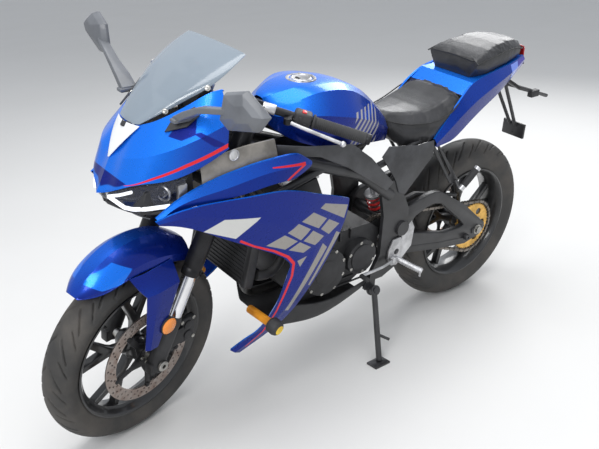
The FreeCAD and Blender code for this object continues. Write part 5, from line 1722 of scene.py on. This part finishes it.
class MOTORCYCLE_OT_fender(bpy.types.Operator):
    """Front fender with its fork guards and reflectors"""
    bl_idname = "motorcycle.fender"
    bl_label = "Front fender"

    def execute(self, context):
        rows = []
        for angle, crest, half_width, edge in FENDER:
            out = xyz(sin(radians(angle)), 0, cos(radians(angle)))
            rise = crest - edge
            rows.append([FRONT_AXLE + out * r + Y_AXIS * y for r, y in [
                (crest, 0), (crest - 1.5, half_width * 0.30), (edge + rise * 0.74, half_width * 0.66),
                (edge + rise * 0.30, half_width * 0.94), (edge, half_width), (edge + 2, half_width - 5)]])
        shell = skin(rows, 2.8, 2, sharp_columns=(1, 3, 4), mirror=True, inside=FRONT_AXLE)
        dress(shell, "fender_shell", "fender", ["front_fender"], "steering", smooth=16)
        self.guards()
        return {"FINISHED"}

    def guards(self):
        """Angular plate beside each lower fork tube, from the axle foot to the fender, with its reflector."""
        rows = []
        for ahead, high, behind, low, wide in ((77, 308, -66, 310, 77), (66, 280, -63, 288, 98),
                (54, 262, -58, 262, 120), (56, 172, -22, 170, 122), (59, 84, 14, 76, 120)):
            front = FRONT_AXLE + xyz(ahead, wide, high)
            rear = FRONT_AXLE + xyz(behind, wide, low)
            rows.append([front, front.lerp(rear, 0.3) + Y_AXIS * 5, front.lerp(rear, 0.65) + Y_AXIS * 3,
                rear])
        guard = skin(rows, 3.4, 1, sharp_rows=(2,), sharp_columns=(0, 1, 2, 3), inside=fork_line(480, 0))
        dress(both(guard), "fork_guards", "fender", body="steering", smooth=14)
        spot = FRONT_AXLE + xyz(-18, 121, 134)
        lens = lathe([(0, 0), (0, 25), (6, 25), (9, 21), (10, 0)], spot, 40)
        rim = lathe([(0, 25), (0, 27.5), (7, 27.5), (7, 25.5)], spot, 40)
        dress(both(lens), "fork_reflectors", "amber", body="steering")
        dress(both(rim), "fork_reflector_rims", "plastic", body="steering")


# Forks
class MOTORCYCLE_OT_forks(bpy.types.Operator):
    """Fork legs, yokes and front axle"""
    bl_idname = "motorcycle.forks"
    bl_label = "Forks"

    def execute(self, context):
        foot = fork_line(FRONT_AXLE.z)
        length = 1.0 / STEER_UP.z

        def up(height):
            return (height - FRONT_AXLE.z) * length

        leg = lathe([(up(310), 0), (up(310), 20.5), (up(540), 20.5), (up(540), 0)], foot, 48, STEER_UP)
        sleeve = lathe([(up(538), 20.6), (up(538), 25), (up(542), 26.5), (up(548), 27), (up(556), 27),
            (up(558), 26), (up(562), 26), (up(564), 27), (up(998), 27), (up(1004), 24), (up(1004), 12),
            (up(1001), 12), (up(1001), 0), (up(540), 0)], foot, 56, STEER_UP)
        block_foot = lathe([(up(268), 0), (up(268), 20), (up(276), 25), (up(414), 25), (up(425), 22),
            (up(425), 0)], foot, 48, STEER_UP)
        lugs = block((1368, 84, 262), (1396, 112, 300), 4.0)
        chrome = joined([copied(leg, Matrix()), copied(leg, OTHER_SIDE)])
        bpy.data.objects.remove(leg)
        dress(chrome, "fork_tubes", "chrome", ["fork_left", "fork_right"], "steering")
        dress(both(sleeve), "fork_sleeves", "carrier", body="steering")
        dress(both(joined([block_foot, lugs])), "fork_feet", "engine", body="steering")
        yokes = cad_copy("yokes", 2.5, 2)
        dress(yokes, "yoke_castings", "carrier", ["yokes"], "steering")
        axis_top = steering_axis(TOP_YOKE) + STEER_UP * 13
        nut = lathe([(0, 0), (0, 22), (4, 22), (6, 17), (17, 17), (18.5, 15), (18.5, 8), (12, 8), (12, 0)],
            axis_top, 32, STEER_UP)
        dress(nut, "stem_nut", "alloy", body="steering")
        axle = lathe([(-112, 6.2), (-112, 8.4), (-111, 8.4), (122, 8.4), (122, 16), (128, 16), (130, 14),
            (130, 6.2)], FRONT_AXLE, 32)
        spacers = [lathe([(low, 8.6), (low, 15), (high, 15), (high, 8.6)], FRONT_AXLE, 32)
            for low, high in ((61.6, 76), (-76, -52.4))]
        dress([axle] + spacers, "front_axle_bolt", "steel", ["front_axle"], "steering")
        return {"FINISHED"}


class MOTORCYCLE_OT_handlebars(bpy.types.Operator):
    """Clip-on handlebars with grips, switches and levers"""
    bl_idname = "motorcycle.handlebars"
    bl_label = "Handlebars"

    def execute(self, context):
        for side, name in ((1, "left"), (-1, "right")):
            self.bar(side, name)
        return {"FINISHED"}

    def bar(self, side, name):
        leg = fork_line(TOP_YOKE, side)
        leg = leg + STEER_UP * (steering_axis(TOP_YOKE) - leg).dot(STEER_UP) + STEER_UP * 24.3
        clamp = lathe([(-11, 27.3), (-11, 34), (-9.5, 35.5), (9.5, 35.5), (11, 34), (11, 27.3)], leg, 48,
            STEER_UP)
        start = leg + xyz(-12, side * 26, 4)
        end = xyz(858, side * 345, 932)
        run = end - start
        boss = rod(start - run.normalized() * 6, start + run.normalized() * 30, 14, 32, 2.0)
        node = "handlebar_" + name
        dress([clamp, boss], node + "_clamp", "alloy", [node], "steering")
        tube = rod(start, start + run * 1.0, 11, 32)
        weight = lathe([(0, 0), (0, 14), (3, 15.5), (12, 15.5), (14, 13), (14, 0)], start + run * 0.985, 32,
            run)
        dress([tube, weight], node + "_tube", "carrier", body="steering")
        length = run.length * 0.525
        profile = [(0, 11), (0, 20), (3, 21), (6, 20), (7, 16.5)]
        grooves = 26
        for n in range(grooves):
            at = 8 + (length - 14) * n / grooves
            profile += [(at, 16.4), (at + 1.6, 16.4), (at + 2.1, 15.4), (at + 3.6, 15.4)]
        profile += [(length - 5, 16.5), (length - 1, 16.5), (length, 15), (length, 11)]
        dress(lathe(profile, start + run * 0.46, 40, run), node + "_grip", "rubber", body="steering")
        self.switches(start, run, side, node)
        self.lever(start, run, side, node)

    def switches(self, start, run, side, node):
        middle = start + run * 0.365
        turn = run.to_track_quat("X", "Z").to_matrix().to_4x4()
        length = run.length * 0.085
        body = block((-length, -21, -22), (length, 20, 21), 7.0, None, 3)
        seam = block((-length - 0.4, -21.4, -1), (length + 0.4, 20.4, 1), 0.4)
        buttons = [block((-12, -24, 4), (-2, -19, 12), 1.6), block((4, -24, -10), (14, -19, -2), 1.6)]
        body = joined([body, seam] + buttons)
        red = block((-6, -12, 19), (6, 4, 24.5), 2.0) if side > 0 else block((-5, -14, 19), (9, 0, 24.5), 2.0)
        for piece, part, finish in ((body, "_switches", "plastic"), (red, "_button", "red")):
            piece.data.transform(Matrix.Translation(middle) @ turn)
            dress(piece, node + part, finish, body="steering")

    def lever(self, start, run, side, node):
        root = start + run * 0.3 + xyz(32, 0, -4)
        tip = start + run * 0.88 + xyz(50, 0, -12)
        way = tip - root
        perch = rod(start + run * 0.285, root, 9, 24, 2.0)
        holder = rod(root - Z_AXIS * 9, root + Z_AXIS * 9, 11, 32, 2.0)
        dress([perch, holder], node + "_perch", "carrier", body="steering")
        blade = pipe([root, root + way * 0.1 + xyz(4, 0, 0), root + way * 0.5 + xyz(2, 0, 0),
            root + way * 0.97], 5.4, 3)
        bare()
        bpy.ops.mesh.primitive_uv_sphere_add(segments=24, ring_count=16, radius=8.5, location=tip)
        dress([blade, bpy.context.object], node + "_lever", "alloy", body="steering")


class MOTORCYCLE_OT_footrests(bpy.types.Operator):
    """Rider's and pillion's footrests, gear lever and brake pedal"""
    bl_idname = "motorcycle.footrests"
    bl_label = "Footrests"

    def execute(self, context):
        for side, name, lever_ahead in ((1, "left", 620), (-1, "right", 585)):
            self.rider(side, name, lever_ahead)
        hanger = plate([(330, 730), (300, 735), (160, 560), (176, 545), (205, 556)], 117, 124, 2.0)
        cut(hanger, plate([(304, 715), (286, 705), (206, 594), (214, 584)], 110, 130, 0))
        post = rod((172, 120, 556), (172, 148, 532), 8, 24, 1.0)
        peg = rod((172, 146, 532), (104, 158, 606), 11, 32, 2.0)
        rubber = rod((160, 148, 545), (112, 157, 598), 12.4, 32, 1.5)
        dress(both(joined([hanger, post])), "pillion_hangers", "frame", ["pillion_footrests"])
        dress(both(peg), "pillion_pegs", "alloy")
        dress(both(rubber), "pillion_peg_rubbers", "rubber")
        return {"FINISHED"}

    def rider(self, side, name, lever_ahead):
        hanger = plate([(470, 420), (436, 424), (424, 390), (425, 330), (446, 318), (470, 322), (490, 350),
            (488, 385)], 132.4, 141, 2.5)
        cut(hanger, drum((452, 0, 372), 11, 120, 150, 32))
        heel = plate([(430, 424), (388, 470), (372, 440), (378, 372), (424, 330)], 134, 137.5, 1.2)
        root, end = xyz(446, 140, 342), xyz(408, 226, 322)
        peg = rod(root, end, 9.5, 32, 1.5)
        rings = [rod(root.lerp(end, 0.32 + 0.075 * n), root.lerp(end, 0.355 + 0.075 * n), 11.2, 12, 0.6)
            for n in range(9)]
        feeler = rod((411, 220, 316), (411, 220, 300), 3.5, 16, 1.0)
        lever = pipe([(470, 150, 350), (505, 152, 343), (545, 154, 340), (lever_ahead, 154, 340)], 5.5, 3)
        pad_rubber = rod((lever_ahead, 152, 340), (lever_ahead, 188, 340), 8, 28, 2.0)
        pivot = drum((470, 0, 350), 12, 141, 158, 32, 1.5)
        pieces = {"_hanger": (joined([hanger, heel]), "alloy", ["footrest_" + name], "footrest_alloy"),
            "_peg": (joined([peg, feeler] + rings), "alloy", (), "footrest_alloy"),
            "_lever": (joined([lever, pivot]), "alloy", (), "footrest_alloy"),
            "_pad": (pad_rubber, "rubber", (), "black_plastic")}
        for part, (piece, finish, nodes, slot) in pieces.items():
            if side < 0:
                piece.data.transform(OTHER_SIDE)
                piece.data.flip_normals()
            dress(piece, "footrest_" + name + part, finish, nodes)


class MOTORCYCLE_OT_stand(bpy.types.Operator):
    """Side stand with its foot and springs"""
    bl_idname = "motorcycle.stand"
    bl_label = "Side stand"

    def execute(self, context):
        stand = cad_copy("side_stand", 1.2)
        dress(stand, "side_stand_leg", "frame", ["side_stand"], "stand")
        return {"FINISHED"}


# Stage
class MOTORCYCLE_OT_stage(bpy.types.Operator):
    """Pale floor, soft lamps and the camera"""
    bl_idname = "motorcycle.stage"
    bl_label = "Stage"

    def execute(self, context):
        scene = context.scene
        bare()
        bpy.ops.mesh.primitive_plane_add(size=60)
        floor = context.object
        floor.name = "floor"
        stone = Finish("Pale floor", (0.74, 0.735, 0.72), 0.85)
        stone.shows(Base_Color=stone.blend(stone.noise(1.6, 4.0), rgba(0.72, 0.715, 0.70),
            rgba(0.76, 0.755, 0.745)))
        floor.data.materials.append(stone.material)
        world = scene.world or bpy.data.worlds.new("Studio")
        scene.world = world
        world.use_nodes = True
        sky = world.node_tree
        ground = sky.nodes["Background"]
        ground.inputs["Color"].default_value = (0.86, 0.90, 0.96, 1.0)
        path = sky.nodes.new("ShaderNodeLightPath")
        seen = path.outputs["Is Camera Ray"]
        for ray in ("Is Glossy Ray", "Is Transmission Ray"):
            either = sky.nodes.new("ShaderNodeMath")
            either.operation = "MAXIMUM"
            sky.links.new(seen, either.inputs[0])
            sky.links.new(path.outputs[ray], either.inputs[1])
            seen = either.outputs[0]
        strength = sky.nodes.new("ShaderNodeMapRange")
        strength.inputs["To Min"].default_value = 0.55
        strength.inputs["To Max"].default_value = 0.80
        sky.links.new(seen, strength.inputs["Value"])
        sky.links.new(strength.outputs[0], ground.inputs["Strength"])
        for name, place, aim, size, power in LAMPS:
            bpy.ops.object.light_add(type="AREA", location=place)
            lamp = context.object
            lamp.name = name
            lamp.data.size = size
            lamp.data.energy = power
            lamp.rotation_euler = (Vector(aim) - Vector(place)).to_track_quat("-Z", "Y").to_euler()
        self.camera(scene)
        scene.view_settings.view_transform = "Standard"
        return {"FINISHED"}

    def camera(self, scene):
        """Camera at the photograph's place, level with a small roll."""
        bpy.ops.object.camera_add()
        camera = bpy.context.object
        ahead = xyz(cos(CAMERA_PITCH) * cos(CAMERA_YAW), cos(CAMERA_PITCH) * sin(CAMERA_YAW),
            -sin(CAMERA_PITCH))
        level = ahead.cross(Z_AXIS).normalized()
        upright = level.cross(ahead)
        right = level * cos(CAMERA_ROLL) + upright * sin(CAMERA_ROLL)
        top = upright * cos(CAMERA_ROLL) - level * sin(CAMERA_ROLL)
        camera.matrix_world = Matrix.Translation(CAMERA_PLACE) @ Matrix((right, top,
            -ahead)).transposed().to_4x4()
        camera.data.sensor_width = 36
        camera.data.lens = CAMERA_LENS
        camera.data.clip_end = 100
        scene.camera = camera


CAMERA_PLACE = xyz(1.5508, 1.7694, 1.4363)
CAMERA_YAW = radians(-127.333)
CAMERA_PITCH = radians(22.069)
CAMERA_ROLL = radians(-1.961)
CAMERA_LENS = 782.48 / 599 * 36
# name, place, aim, size in metres, power in watts
LAMPS = [
    ("overhead_lamp", (0.3, 0.2, 4.2), (0, 0, 0.5), 3.2, 120),
    ("key_lamp", (3.4, 2.2, 2.8), (0, 0, 0.6), 1.8, 90),
    ("rear_lamp", (-3.2, -1.6, 2.6), (0, 0, 0.6), 1.8, 60),
]


OPERATORS = [
    MOTORCYCLE_OT_stage, MOTORCYCLE_OT_tyres, MOTORCYCLE_OT_wheels, MOTORCYCLE_OT_brakes,
    MOTORCYCLE_OT_chain, MOTORCYCLE_OT_frame, MOTORCYCLE_OT_engine, MOTORCYCLE_OT_exhaust,
    MOTORCYCLE_OT_tank, MOTORCYCLE_OT_seats, MOTORCYCLE_OT_tail, MOTORCYCLE_OT_nose,
    MOTORCYCLE_OT_screen, MOTORCYCLE_OT_lights, MOTORCYCLE_OT_fairings, MOTORCYCLE_OT_mirrors,
    MOTORCYCLE_OT_fender, MOTORCYCLE_OT_forks, MOTORCYCLE_OT_handlebars, MOTORCYCLE_OT_footrests,
    MOTORCYCLE_OT_stand,
]


class MOTORCYCLE_PT_pieces(bpy.types.Panel):
    """Lists the pieces of the motorcycle"""
    bl_label = "Motorcycle"
    bl_idname = "MOTORCYCLE_PT_pieces"
    bl_space_type = "VIEW_3D"
    bl_region_type = "UI"
    bl_category = "Motorcycle"

    def draw(self, context):
        for group in (context.scene.motorcycle_sizes, context.scene.motorcycle_colours):
            for name in group.__annotations__:
                self.layout.prop(group, name)
        for operator in OPERATORS:
            self.layout.operator(operator.bl_idname)


CLASSES = [MotorcycleSizes, MotorcycleColours] + OPERATORS + [MOTORCYCLE_PT_pieces]


def register():
    for kind in CLASSES:
        bpy.utils.register_class(kind)
    bpy.types.Scene.motorcycle_sizes = PointerProperty(type=MotorcycleSizes)
    bpy.types.Scene.motorcycle_colours = PointerProperty(type=MotorcycleColours)


def unregister():
    del bpy.types.Scene.motorcycle_sizes
    del bpy.types.Scene.motorcycle_colours
    for kind in reversed(CLASSES):
        bpy.utils.unregister_class(kind)


def main():
    register()
    make_finishes()
    for operator in OPERATORS:
        family, name = operator.bl_idname.split(".")
        getattr(getattr(bpy.ops, family), name)()


if __name__ == "__main__":
    main()
